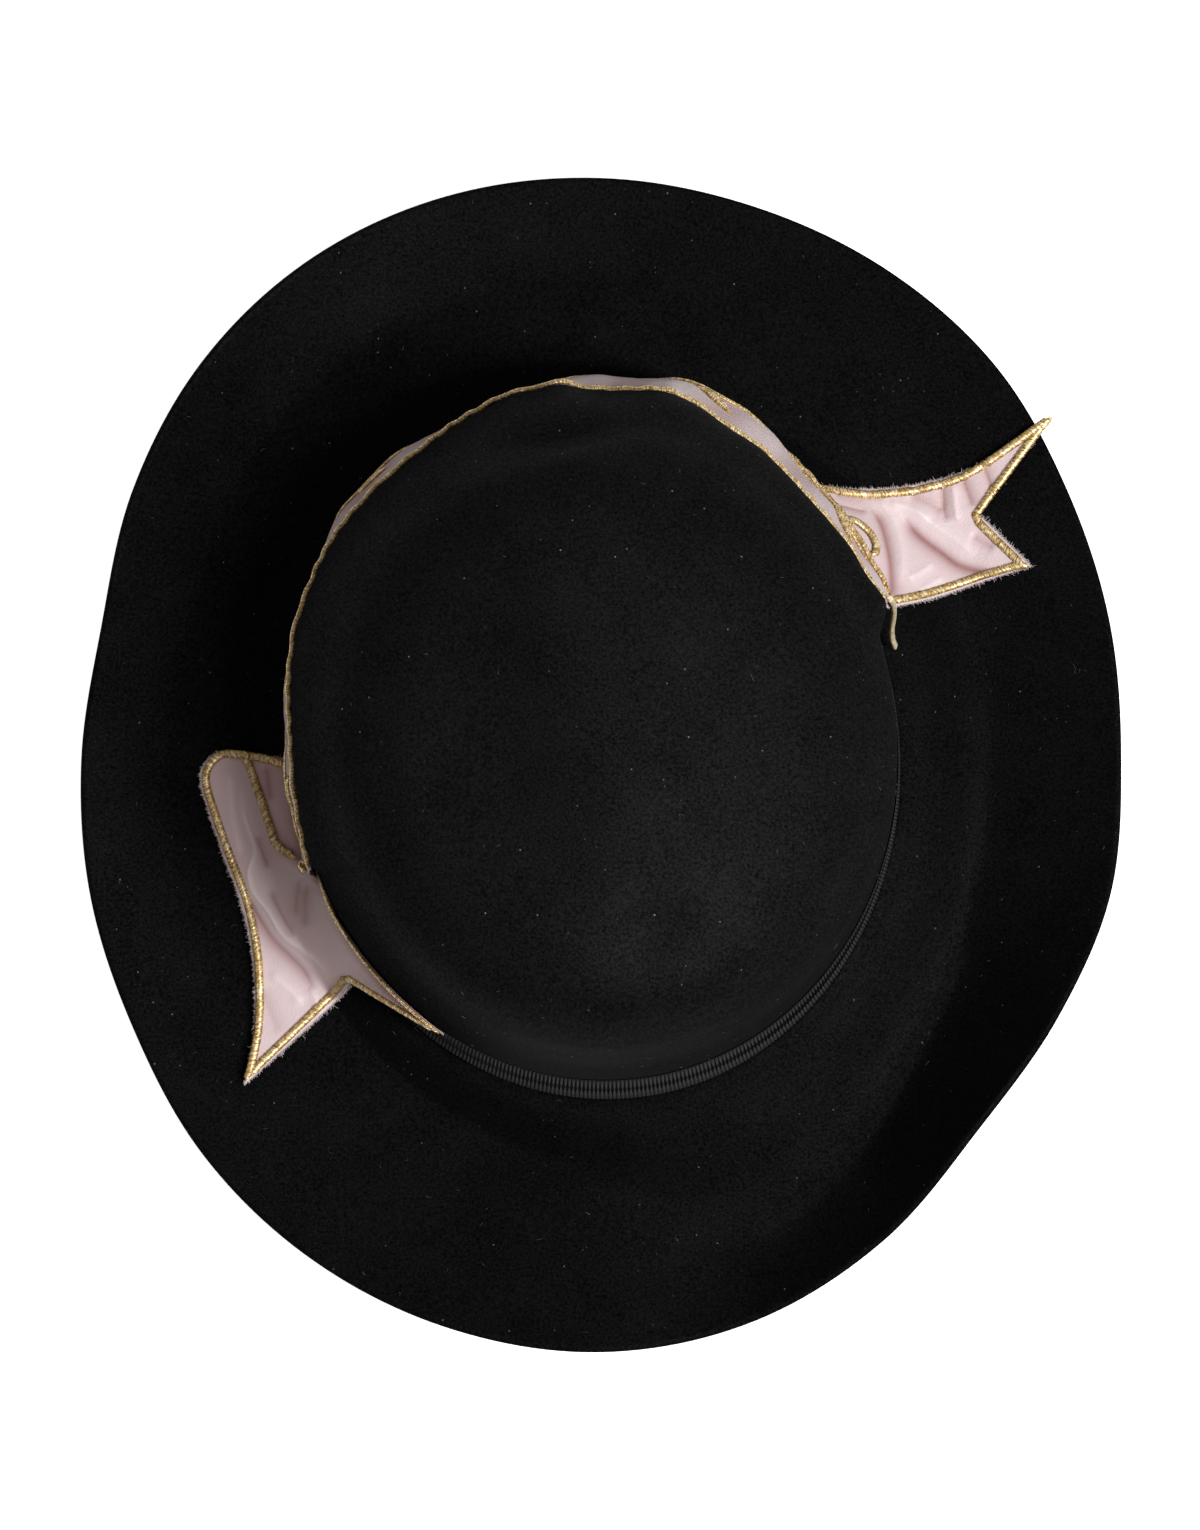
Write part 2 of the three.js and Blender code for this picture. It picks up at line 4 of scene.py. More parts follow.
import bpy
import numpy as np
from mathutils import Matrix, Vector


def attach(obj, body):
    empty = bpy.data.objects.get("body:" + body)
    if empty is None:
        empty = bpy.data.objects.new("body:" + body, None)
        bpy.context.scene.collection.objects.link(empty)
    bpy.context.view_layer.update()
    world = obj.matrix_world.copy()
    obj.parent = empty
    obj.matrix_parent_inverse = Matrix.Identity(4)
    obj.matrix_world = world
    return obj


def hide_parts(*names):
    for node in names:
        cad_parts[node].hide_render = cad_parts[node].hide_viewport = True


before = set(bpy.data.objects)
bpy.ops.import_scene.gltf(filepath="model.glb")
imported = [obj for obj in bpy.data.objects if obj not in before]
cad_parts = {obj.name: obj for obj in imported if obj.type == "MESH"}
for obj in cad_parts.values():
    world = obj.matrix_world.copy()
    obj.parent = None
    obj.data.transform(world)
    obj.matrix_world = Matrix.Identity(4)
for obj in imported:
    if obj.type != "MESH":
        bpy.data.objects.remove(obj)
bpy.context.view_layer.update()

bl_info = {
    "name": "Wide-brim felt hat",
    "version": (1, 0, 0),
    "blender": (4, 5, 0),
    "location": "3D View > Sidebar > Hat",
    "description": "Builds a wide-brim felt hat with a grosgrain ribbon and a gold-edged satin banner",
    "category": "Object",
}

MM = 0.001  # the tables and shapes below are in millimetres, as a hatter measures
GAP = 0.35  # what touches is drawn this far apart


def table(columns, *rows):
    """Rows of numbers as one array for each named column."""
    return dict(zip(columns.split(), np.array(rows, float).T))


def crease(width, height, *path, lean=0.0):
    """A crease of a tail, along places on the table plane: a ridge has a positive height."""
    return {"path": path, "width": width, "height": height, "lean": lean}


# The crown at the middle of the felt: how far it reaches from the axis at each height
CROWN = table(
    "height left right back front turn",
    (10.5, 91.8, 90.0, 102.0, 107.0, 6),
    (11.8, 88.6, 86.9, 98.9, 104.0, 6),
    (15.0, 87.2, 85.4, 97.4, 102.7, 6),
    (38.0, 86.0, 84.1, 93.0, 101.6, 6),
    (57.0, 85.0, 83.0, 89.6, 100.4, 6),
    (78.0, 81.6, 81.2, 86.6, 94.6, 4),
    (93.0, 77.6, 77.6, 83.4, 87.4, 1),
    (101.5, 73.8, 73.8, 79.4, 81.6, 0),
    (107.5, 68.0, 67.4, 73.6, 74.8, 0),
    (111.5, 58.5, 57.5, 64.5, 66.5, 0),
    (114.4, 42.0, 41.0, 49.0, 54.0, 0),
    (116.2, 22.0, 21.5, 26.0, 32.0, 0),
)
FOOT = {name: CROWN[name][0] for name in CROWN}
CROWN_TOP = 116.8
CROWN_TIP = 0.4  # reach of the small ring that closes the crown's top
CROWN_CORE = np.array((0.0, 0.0, 30.0))  # dents push towards this point

# Soft dents of the crown, and raised crests (negative depth): half-lengths along and across
DENTS = table(
    "x y height direction along across depth",
    (-12, 85, 97, 21, 21, 9, 4.5),
    (13, -56, 112, 44, 15, 10, 3.2),
    (-33, -2, 113, 100, 34, 19, 1.8),
    (6, -2, 115, -63, 52, 13, -1.0),
)

# The brim's raw edge, every 15 degrees: reach from the axis and height off the table, and the shares
# of the brim's width at which it reaches the table and leaves it again
BRIM = table(
    "reach rise touches leaves",
    (152.2, 9.5, 0.42, 0.25), (154.7, 7.5, 0.42, 0.30), (158.9, 4.6, 0.38, 0.40),
    (165.0, 4.0, 0.24, 0.55), (168.2, 4.2, 0.16, 0.58), (170.2, 5.0, 0.15, 0.58),
    (172.1, 6.5, 0.16, 0.58), (172.3, 8.5, 0.22, 0.55), (169.5, 13.0, 0.32, 0.56),
    (164.2, 15.5, 0.42, 0.58), (157.6, 12.5, 0.42, 0.56), (151.1, 8.0, 0.38, 0.56),
    (151.8, 6.0, 0.28, 0.58), (154.2, 5.5, 0.20, 0.58), (157.2, 5.5, 0.18, 0.56),
    (163.3, 6.0, 0.16, 0.42), (168.0, 6.5, 0.18, 0.34), (171.1, 9.0, 0.22, 0.30),
    (172.3, 9.0, 0.32, 0.36), (169.5, 7.0, 0.55, 0.66), (162.1, 14.0, 0.60, 0.66),
    (152.7, 26.0, 0.50, 0.58), (151.8, 23.0, 0.44, 0.48), (153.6, 13.0, 0.42, 0.30),
)
CURL_POWER = 1.5

# Above the banner the felt swells as far as the banner's top edge stands off it
SWELL = {"starts": 54.0, "full": 66.0, "fades": 72.0, "ends": 96.0, "before": 6.0, "after": 2.5}

# The brim swells a little behind the crown
BRIM_SWELL = {"x": 2.0, "y": -136.0, "radius": 34.0, "height": 2.8}

# The crown's top falls gently towards the right of a crest
RIGHT_FALL = {"direction": 14, "from": -3.0, "soft": 9.0, "slope": 0.18, "low": 62.0, "high": 110.0}

GROSGRAIN = {"bottom": 15.5, "top": 39.5, "thickness": 0.7, "selvedge": 1.1, "groove": 0.2}

# Banner round the crown: how far it stands off the felt at its top, at its belly and at its bottom
BANNER = {"bottom": 17.0, "top": 58.5, "start": 203.0, "end": 27.0, "belly": 0.46}
BANNER_LEAN = table(
    "angle top belly bottom",
    (27, 5.0, 6.8, 9.0), (33, 2.9, 6.2, 9.0), (38, 2.7, 5.8, 8.8), (43, 1.8, 5.8, 8.8),
    (50, 1.0, 5.9, 8.8), (57, 1.2, 6.6, 8.8), (62, 1.7, 8.2, 8.8), (68, 1.4, 9.6, 8.6),
    (74, 3.0, 9.4, 8.0), (80, 3.6, 8.4, 7.2), (84, 2.0, 7.2, 6.6), (87, 1.2, 6.5, 6.0),
    (90, 0.8, 6.2, 5.6), (93, 1.4, 5.6, 5.0), (96, 3.0, 4.8, 4.2), (101, 2.6, 3.4, 3.2),
    (105, 2.8, 2.6, 2.8), (109, 1.9, 2.6, 2.6), (115, 1.3, 3.4, 2.8), (122, 0.8, 4.4, 3.2),
    (130, 1.8, 5.8, 3.6), (137, 2.9, 6.2, 3.6), (144, 3.8, 5.4, 3.2), (152, 3.9, 4.2, 2.8),
    (160, 3.9, 3.6, 2.6), (168, 2.8, 3.4, 2.4), (176, 1.5, 3.2, 2.4), (185, 1.2, 2.4, 2.2),
    (194, 1.5, 2.2, 2.2), (203, 2.4, 2.4, 2.4),
)
CLEAR_OF_RIBBON = GAP + GROSGRAIN["thickness"] + 0.9
CLEAR_OF_FELT = 0.75
RIBBON_SHARE = 0.6  # the grosgrain's top edge, as a share of the banner's height

# Left tail from its folded corner to its points: outer border, and where it leans on the crown
LEFT_TAIL = table(
    "x y crown_angle crown_height",
    (-107.0, 2.4, 180.6, 13.6), (-113.6, 1.4, 182, 13.6), (-117.4, -5.0, 186, 13.6),
    (-114.4, -16.5, 193, 13.6), (-110.0, -29.0, 199.5, 13.6), (-107.2, -36.0, 204.6, 26.0),
    (-104.8, -43.5, 210, 35), (-102.2, -54.5, 216.2, 42), (-101.0, -66.0, 223.2, 43),
    (-101.2, -80.0, 231.8, 42), (-103.8, -95.0, 240.8, 38),
)
LEFT_NOTCH = {"share": 0.62, "depth": 21, "towards": (-0.21, 0.98)}
LEFT_LEAN = {"stand_off": 0.7, "reach": 15, "power": 1.6}

# Right tail from under the banner to its points: front border and back border
RIGHT_TAIL = table(
    "front_x front_y back_x back_y",
    (60.5, 80.8, 84.0, 44.2), (74.8, 80.3, 92.5, 46.2), (86.0, 80.6, 99.0, 48.2),
    (97.0, 82.4, 106.0, 50.6), (110.5, 86.9, 115.5, 53.8), (133.3, 101.6, 126.8, 57.1),
)
RIGHT_NOTCH = {"share": 0.7, "depth": 17.4, "towards": (-0.99, 0.14)}
NOTCH_FADE = 2  # how fast a notch dies away towards the tail's root
TAIL_GAP = 1.8  # a tail lies this far above the curved brim

# Creases of the tails: width, height and places
LEFT_CREASES = (
    crease(1.2, 0.6, (-109.0, -2.5), (-107.5, -17.3), (-105.2, -29.6)),
    crease(1.1, 1.3, (-105.7, -5.3), (-104.0, -17.3), (-101.2, -27.0), (-103.0, -33.2), (-102.3, -37.4),
           (-97.4, -44.3), (-92.6, -51.9), (-87.1, -56.1), (-81.6, -60.3), (-77.0, -69.5), lean=0.3),
    crease(1.5, -1.1, (-105.5, -35.8), (-100.0, -46.5), (-95.6, -53.0), (-90.5, -58.0), (-86.4, -62.5),
           (-83.4, -69.4), lean=-0.3),
    crease(1.0, -0.9, (-100.8, -21.5), (-97.0, -32.5)),
    crease(1.1, -1.0, (-97.1, -37.5), (-93.3, -45.7), (-89.0, -52.5)),
    crease(1.2, -0.9, (-86.8, -34.7), (-88.9, -46.3)),
    crease(1.8, -1.0, (-84.3, -36.8), (-85.8, -50.1)),
    crease(1.3, 0.5, (-97.1, -62.0), (-90.5, -67.9), (-86.8, -72.3)),
    crease(1.3, 0.5, (-85.0, -66.2), (-81.0, -76.0)),
    crease(2.2, -0.4, (-100.0, -66.0), (-94.0, -81.0)),
    crease(1.3, -0.7, (-97.6, -1.5), (-95.9, -13.1)),
)
RIGHT_CREASES = (
    crease(1.5, -1.6, (88.6, 73.0), (93.2, 67.4), (100.3, 61.8), (105.6, 58.0), (110.8, 56.4),
           (116.9, 56.7), lean=-0.3),
    crease(2.2, 0.6, (91.0, 76.0), (98.0, 70.0), (104.5, 65.5), (111.0, 60.5), lean=0.3),
    crease(1.5, -1.5, (79.0, 76.5), (82.4, 70.0), (84.4, 62.0), (85.4, 44.0), lean=0.35),
    crease(1.8, 0.7, (80.0, 80.0), (86.6, 71.0), (88.6, 64.0), (88.4, 50.0)),
    crease(1.5, -1.0, (101.0, 82.4), (101.8, 70.0), lean=0.3),
    crease(1.2, 0.6, (104.0, 82.5), (105.4, 70.0)),
    crease(1.4, -1.0, (106.6, 84.0), (110.0, 74.5), lean=0.3),
    crease(1.3, -0.9, (112.4, 88.5), (116.2, 78.5)),
    crease(0.9, -0.8, (68.0, 78.4), (85.0, 77.8)),
    crease(1.0, -0.9, (66.5, 75.4), (79.0, 73.2)),
    crease(1.4, 0.6, (84.6, 76.6), (91.9, 74.4), (98.2, 70.4)),
    crease(2.2, -0.7, (91.0, 79.5), (102.0, 73.5)),
    crease(1.3, 0.6, (90.1, 53.2), (94.5, 55.5), (98.6, 58.7)),
    crease(1.3, 0.5, (93.5, 49.5), (101.5, 54.5)),
    crease(1.5, -0.7, (109.0, 66.8), (116.5, 62.5)),
)

# Gold cord inside the tails' borders, as shares along and across the tail
FOLD_LINE = ((0.08, 0.285), (0.105, 0.41), (0.18, 0.55), (0.236, 0.6), (0.278, 0.625), (0.326, 0.638),
             (0.372, 0.648), (0.398, 0.715), (0.406, 0.775), (0.41, 0.845))
FOLD_STEP = 1.1  # the upper layer stands this much over the one that the fold line borders
CURL = ((0.05, 0.31), (0.1, 0.3), (0.14, 0.36), (0.155, 0.45), (0.135, 0.55), (0.09, 0.61))
KNOT = {"angle": 201.5, "height": 46.0, "out": 3.6, "radius": 0.9, "sway": 0.5}
LOOSE_END = table(
    "angle out height",
    (27.4, 6.2, 54), (26.4, 6.8, 42), (24.6, 6.2, 31), (22.3, 5.4, 22), (20.5, 5.0, 16.8),
)

# A generic embroidery for the banner's face: a waving stem with a leaf at each bend
STEM = {"start": 0.04, "end": 0.95, "middle": 0.43, "swing": 5.0, "bends": 11}
LEAF = {"length": 6.3, "width": 2.3, "height": 1.3, "from_stem": 5.4, "lean": 32}
MEAN_REACH = 95  # of the banner, from the crown's axis

# Half the width, and the height, of each kind of gold cord; slant is how far its threads run along it
# from one side to the other, as a share of the width, and tone is how brightly they shine, as painted
# glints in their colour
TOP_CORD = {"width": 0.82, "height": 0.7}
LOOSE_CORD = {"width": 1.0, "height": 1.3, "slant": 0.8, "tone": 2.2}
KNOT_CORD = {"width": 0.95, "height": 0.95}
STEM_CORD = {"width": 0.75, "height": 0.75}

# How much the threads of a cord differ, as shares of its size, and how brightly they shine, as painted glints
# in their colour
STITCH = {"width_varies": 0.03, "height_varies": 0.05, "slant": 0.5, "tone": 0.72, "tone_varies": 0.09,
          "spark_varies": 0.5}
LEAF_GROOVE = {"depth": 0.45, "width": 0.3}  # where a leaf's threads meet, as shares of the leaf
POINTED_END = {"shrinks": 0.55, "within": 0.03}  # a border's inset at the tip of a tail

# Frayed threads: how much they differ in length, lean aside and up, and bend, as shares of the length;
# their roots lie a little inside the edge
FRAY = {"length_varies": 0.45, "aside": 0.35, "up": 0.05, "up_varies": 0.2, "bend": 0.12, "root": 0.15}

# Lint: how far it lies off the felt, the brim's reach, and how much bits differ in length and bend
LINT = {"off": 0.06, "brim_reach": 170, "length": -0.3, "length_varies": 0.55, "bend_varies": 0.2}

# The form of a crease: how steeply it falls away, how round its crest is and where its ends fade
CREASE = {"steep": 1.2, "crest": 0.25, "fades": 0.2}

# The satin's puckers along its borders, and its broad ripples, whose valleys are painted darker as shade
PUCKER = {"height": 0.22, "waves": 231, "drift": 2.4, "drift_waves": 37, "fades": 0.2}
RIPPLE = {"height": 0.45, "waves": 71, "slant": 1.6, "shade": 0.2}

# How finely the pieces are drawn, and the rectangles that the tails are cut from
FELT_ROWS = {"brim": 54, "crown": 110, "crowding": 1.25}
BANNER_GRID = (600, 36)
LEFT_SHEET = {"grid": (240, 120), "cut": (0.048, 0.115)}
RIGHT_SHEET = {"grid": (190, 120), "cut": (0.050, 0.075)}
CORD_SIDES = 12
RUN_PLACES = 400  # along a border, before its threads are placed
PATH_STEP = 0.4  # along a crease
FRINGE_DRAWS = 4000  # places drawn along an edge, of which a fringe takes as many as it needs
THIN_EDGE = 0.45  # a sheet's edge is this share of its thickness
RAW_EDGE = 0.3  # how far the felt's cut edge is rounded

# The table, in metres: half its width, and its top, just under the hat
TABLE = {"half": 4.0, "top": -0.0002}

# The photograph's view: from above, a little towards the back of the hat
VIEW = {"target": (0.0, -0.0018, 0.010), "elevation": 86.0, "distance": 1.4, "lens": 112.5}


def linear(colour):
    """An sRGB hex colour, such as 'E5C9CE', as linear red, green, blue and alpha."""
    parts = [int(colour[i:i + 2], 16) / 255 for i in (0, 2, 4)]
    return (*(p / 12.92 if p <= 0.04045 else ((p + 0.055) / 1.055) ** 2.4 for p in parts), 1.0)


def smooth_through(knots, values, at):
    """A smooth curve through values at the knots, read at other places."""
    slopes = np.gradient(values, knots)
    i = np.clip(np.searchsorted(knots, at, side="right") - 1, 0, len(knots) - 2)
    span = knots[i + 1] - knots[i]
    t = np.clip((at - knots[i]) / span, 0, 1)
    rise = values[i + 1] - values[i]
    leave = slopes[i] * span
    arrive = slopes[i + 1] * span
    return values[i] + t * (leave + t * (3 * rise - 2 * leave - arrive + t * (leave + arrive - 2 * rise)))


def smoothstep(value, low, high):
    t = np.clip((value - low) / (high - low), 0, 1)
    return t * t * (3 - 2 * t)


def even(values, place):
    """A smooth curve through evenly spaced values; place runs from 0 to 1."""
    return smooth_through(np.linspace(0, 1, len(values)), values, place)


def brim_value(column, angle):
    """A column of the brim's table at any angle; the table closes on itself."""
    values = BRIM[column]
    wrapped = np.concatenate([values[-2:], values, values[:3]])
    knots = (np.arange(len(wrapped)) - 2) * 360 / len(values)
    return smooth_through(knots, wrapped, np.mod(angle, 360))


def on_circle(angle, reach, height):
    turn = np.radians(angle)
    return np.stack(np.broadcast_arrays(np.cos(turn) * reach, np.sin(turn) * reach, height), -1)


def angle_of(points):
    return np.degrees(np.arctan2(points[..., 1], points[..., 0]))


def unit(vectors):
    return vectors / np.linalg.norm(vectors, axis=-1, keepdims=True)


def steps_along(points):
    return np.linalg.norm(np.diff(points, axis=0), axis=1)


def travelled(points):
    """How far along a line each of its points is."""
    return np.append(0, np.cumsum(steps_along(points)))


def read(rows, key, at):
    """Every column of a table at a place along the column key."""
    return {name: smooth_through(rows[key], rows[name], at) for name in rows}


def oval_reach(section, angle):
    turned = np.radians(angle - section["turn"])
    side = np.cos(turned) / np.where(np.cos(turned) > 0, section["right"], section["left"])
    length = np.sin(turned) / np.where(np.sin(turned) > 0, section["front"], section["back"])
    return 1 / np.hypot(side, length)


def crown_face(angle, height, felt):
    """Reach of the crown's outer face, below its rounded top."""
    return oval_reach(read(CROWN, "height", height), angle) + felt / 2


def brim_middle(angle, share, felt):
    """The middle of the felt from the crown's foot, share 0, to the raw edge, share 1."""
    leaves = brim_value("leaves", angle)
    fall = (FOOT["height"] - felt / 2) * (1 - smoothstep(share, 0, brim_value("touches", angle)))
    curl = np.clip((share - leaves) / (1 - leaves), 0, 1) ** CURL_POWER
    lift = brim_value("rise", angle) * curl
    inner = oval_reach(FOOT, angle)
    reach = inner + (brim_value("reach", angle) - inner) * share
    middle = on_circle(angle, reach, felt / 2 + fall + lift)
    away = np.hypot(middle[..., 0] - BRIM_SWELL["x"], middle[..., 1] - BRIM_SWELL["y"])
    away = away / BRIM_SWELL["radius"]
    middle[..., 2] += BRIM_SWELL["height"] * np.exp(-away ** 2) * smoothstep(share, 0, 0.35)
    return middle


def brim_top(points, felt):
    """Height of the brim's upper face under some points."""
    angle = angle_of(points)
    inner = oval_reach(FOOT, angle)
    share = (np.hypot(points[..., 0], points[..., 1]) - inner) / (brim_value("reach", angle) - inner)
    return brim_middle(angle, np.clip(share, 0, 1), felt)[..., 2] + felt / 2


def crown_middle(angle, place):
    """The middle of the crown's felt from its foot, place 0, over the shoulder to its top, place 1."""
    rows = {name: np.append(CROWN[name], CROWN[name][-1]) for name in CROWN}
    rows["height"][-1] = CROWN_TOP
    for name in ("left", "right", "back", "front"):
        rows[name][-1] = CROWN_TIP
    mean = (rows["left"] + rows["front"]) / 2
    knots = np.append(0, np.cumsum(np.hypot(np.diff(mean), np.diff(rows["height"]))))
    section = {name: smooth_through(knots, rows[name], place * knots[-1]) for name in rows}
    return on_circle(angle, oval_reach(section, angle), section["height"])


def dent_depth(points):
    """How far dents push the crown in at some points; less than 0 on a crest."""
    depth = 0
    for i in range(len(DENTS["depth"])):
        spot = {name: DENTS[name][i] for name in DENTS}
        turn = math.radians(spot["direction"])
        dx = points[..., 0] - spot["x"]
        dy = points[..., 1] - spot["y"]
        along = (dx * math.cos(turn) + dy * math.sin(turn)) / spot["along"]
        sideways = -dx * math.sin(turn) + dy * math.cos(turn)
        across = np.hypot(sideways, points[..., 2] - spot["height"]) / spot["across"]
        depth = depth + spot["depth"] * np.exp(-along ** 2 - across ** 2)
    return depth


def banner_swell(points):
    """How the felt swells out over the banner's top edge."""
    angle = np.mod(angle_of(points), 360)
    stand = smooth_through(BANNER_LEAN["angle"], BANNER_LEAN["top"], angle)
    near = smoothstep(angle, BANNER["end"] - SWELL["before"], BANNER["end"])
    near = near * (1 - smoothstep(angle, BANNER["start"], BANNER["start"] + SWELL["after"]))
    rising = smoothstep(points[..., 2], SWELL["starts"], SWELL["full"])
    falling = 1 - smoothstep(points[..., 2], SWELL["fades"], SWELL["ends"])
    return on_circle(angle, stand * near * rising * falling, 0.0)


def right_fall(points):
    """How far the crown's top falls towards its right."""
    turn = math.radians(RIGHT_FALL["direction"])
    beyond = points[..., 0] * math.cos(turn) + points[..., 1] * math.sin(turn) - RIGHT_FALL["from"]
    beyond = (beyond + np.hypot(beyond, RIGHT_FALL["soft"])) / 2
    top = smoothstep(points[..., 2], RIGHT_FALL["low"], RIGHT_FALL["high"])
    return RIGHT_FALL["slope"] * beyond * top


def dented(points):
    """The crown's points with its dents, its swell over the banner and its fall to the right."""
    moved = points + unit(CROWN_CORE - points) * dent_depth(points)[..., None]
    moved += banner_swell(points)
    moved[..., 2] -= right_fall(points)
    return moved


def grid_normals(grid, closed=False):
    """Unit normals of a grid of points; closed means that its columns run right round."""
    if closed:
        across = np.roll(grid, -1, 1) - np.roll(grid, 1, 1)
    else:
        across = np.gradient(grid, axis=1)
    normal = np.cross(across, np.gradient(grid, axis=0))
    return normal / np.maximum(np.linalg.norm(normal, axis=-1, keepdims=True), 1e-12)


def quads(rows, columns, round_columns=False, round_rows=False):
    """The four corners of each face of a grid, as numbers of its points."""
    r = np.arange(rows if round_rows else rows - 1)[:, None]
    c = np.arange(columns if round_columns else columns - 1)[None, :]
    below = (r + 1) % rows
    right = (c + 1) % columns
    corners = (r * columns + c, r * columns + right, below * columns + right, below * columns + c)
    return np.stack(np.broadcast_arrays(*corners), -1).reshape(-1, 4)


def fan(ring, tip, turned=False):
    """Triangles from a ring of points to a tip."""
    after = np.roll(ring, -1)
    return np.stack([after if turned else ring, ring if turned else after, np.full(len(ring), tip)], -1)


def make_object(name, points, faces, material, values=None):
    """A piece of the hat that rides on it; points are in millimetres."""
    mesh = bpy.data.meshes.new(name)
    corners = [row for group in faces for row in np.asarray(group).tolist()]
    mesh.from_pydata((np.asarray(points).reshape(-1, 3) * MM).tolist(), [], corners)
    mesh.validate()
    mesh.polygons.foreach_set("use_smooth", [True] * len(mesh.polygons))
    for key, numbers in (values or {}).items():
        attribute = mesh.attributes.new(key, "FLOAT", "POINT")
        attribute.data.foreach_set("value", np.asarray(numbers, np.float32).ravel())
    mesh.materials.append(material)
    piece = bpy.data.objects.new(name, mesh)
    bpy.context.scene.collection.objects.link(piece)
    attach(piece, "root")
    return piece


def add_node(tree, kind, inputs=None, **settings):
    """Adds a node; each input is a number, a colour or the socket that feeds it."""
    node = tree.nodes.new(kind)
    for name, value in settings.items():
        setattr(node, name, value)
    for name, value in (inputs or {}).items():
        if isinstance(value, bpy.types.NodeSocket):
            tree.links.new(value, node.inputs[name])
        else:
            node.inputs[name].default_value = value
    return node


def new_material(name):
    """An empty node material; returns it with its tree and a place on the surface in metres."""
    material = bpy.data.materials.new(name)
    material.use_nodes = True
    tree = material.node_tree
    tree.nodes.clear()
    place = add_node(tree, "ShaderNodeTexCoord").outputs["Object"]
    return material, tree, place


def finish_material(material, tree, shader, colour):
    material.diffuse_color = colour
    add_node(tree, "ShaderNodeOutputMaterial", {"Surface": shader.outputs[0]})
    return material


def per_mm(size):
    """The scale that makes one cell of a pattern this many millimetres wide."""
    return 1 / (size * MM)


def noise(tree, place, size, detail, roughness=0.5):
    """Noise whose cells are this many millimetres wide."""
    return add_node(tree, "ShaderNodeTexNoise", {"Vector": place, "Scale": per_mm(size), "Detail": detail,
                                                 "Roughness": roughness}).outputs["Fac"]


def mix(tree, data_type, factor, a, b):
    """What lies between two numbers or two colours."""
    return add_node(tree, "ShaderNodeMix", {"Factor": factor, "A": a, "B": b},
                    data_type=data_type).outputs["Result"]


def times(tree, a, b):
    return add_node(tree, "ShaderNodeMath", {0: a, 1: b}, operation="MULTIPLY").outputs[0]


def ranged(tree, value, low, high, to_low, to_high):
    """A value that goes from to_low to to_high while the given one goes from low to high."""
    return add_node(tree, "ShaderNodeMapRange", {"Value": value, "From Min": low, "From Max": high,
                                                 "To Min": to_low, "To Max": to_high}).outputs[0]


def ramp(tree, factor, *stops):
    """Colours at places from 0 to 1, with a smooth change between them."""
    node = add_node(tree, "ShaderNodeValToRGB", {"Fac": factor})
    elements = node.color_ramp.elements
    elements[0].position, elements[0].color = stops[0]
    elements[1].position, elements[1].color = stops[-1]
    for position, colour in stops[1:-1]:
        elements.new(position).color = colour
    return node.outputs["Color"]


def bumped(tree, height, strength, depth):
    """Normals of a surface with a relief this many millimetres deep."""
    return add_node(tree, "ShaderNodeBump", {"Height": height, "Strength": strength,
                                             "Distance": depth * MM}).outputs["Normal"]


def attribute(tree, name):
    return add_node(tree, "ShaderNodeAttribute", attribute_name=name).outputs["Fac"]


def wool_felt(settings):
    """Pressed wool felt, brushed: matt black with a faint nap, mottled, with pale specks of lint."""
    material, tree, place = new_material("pressed wool felt")
    # Clouds of nap, 16 mm across, and single hairs drawn at 0.8 mm, coarser than life so that they show
    clouds = noise(tree, place, 16, 3.0)
    # The nap is brushed down the crown's wall, so hairs are drawn longer upright
    brushed = add_node(tree, "ShaderNodeMapping", {"Vector": place, "Scale": (1, 1, 0.22)})
    hairs = noise(tree, brushed.outputs["Vector"], 0.8, 3.0, 0.75)
    both = mix(tree, "FLOAT", 0.85, clouds, hairs)
    tone = ramp(tree, both, (0.38, settings.dark), (0.68, settings.light))
    # Lint: a speck of about 0.4 mm in some of the cells, which are 5 mm wide
    cells = add_node(tree, "ShaderNodeTexVoronoi", {"Vector": place, "Scale": per_mm(5)})
    speck = ranged(tree, cells.outputs["Distance"], 0.03, 0.06, 0.6, 0.0)
    some = add_node(tree, "ShaderNodeSeparateColor", {"Color": cells.outputs["Color"]})
    specked = mix(tree, "RGBA", times(tree, speck, some.outputs["Red"]), tone, settings.lint)
    # Painted light: the colour, sheen and shine are scaled by height, so the crown's top is paler and the
    # brim darker, standing in for how the light falls
    parts = add_node(tree, "ShaderNodeSeparateXYZ", {"Vector": place})
    painted_height_light = ranged(tree, parts.outputs["Z"], 55 * MM, 104 * MM, 0.85, 1.25)
    base = add_node(tree, "ShaderNodeVectorMath", {0: specked, "Scale": painted_height_light}, operation="SCALE")
    normal = bumped(tree, both, 0.3, 0.3)
    wool = add_node(tree, "ShaderNodeBsdfPrincipled",
                    {"Base Color": base.outputs[0], "Roughness": 0.95, "IOR": 1.45,
                     "Specular IOR Level": 0.0, "Sheen Weight": times(tree, painted_height_light, 0.021),
                     "Sheen Roughness": 0.5, "Sheen Tint": settings.nap, "Normal": normal})
    # Hairs that lie flat shine faintly, by the same amount at every angle, as a nap does
    shine = add_node(tree, "ShaderNodeBsdfGlossy",
                     {"Color": settings.nap, "Roughness": 0.6, "Normal": normal})
    share = times(tree, ranged(tree, both, 0.35, 0.7, 0.0005, 0.0075), painted_height_light)
    shader = add_node(tree, "ShaderNodeMixShader", {"Fac": share, 1: wool.outputs[0], 2: shine.outputs[0]})
    return finish_material(material, tree, shader, settings.dark)


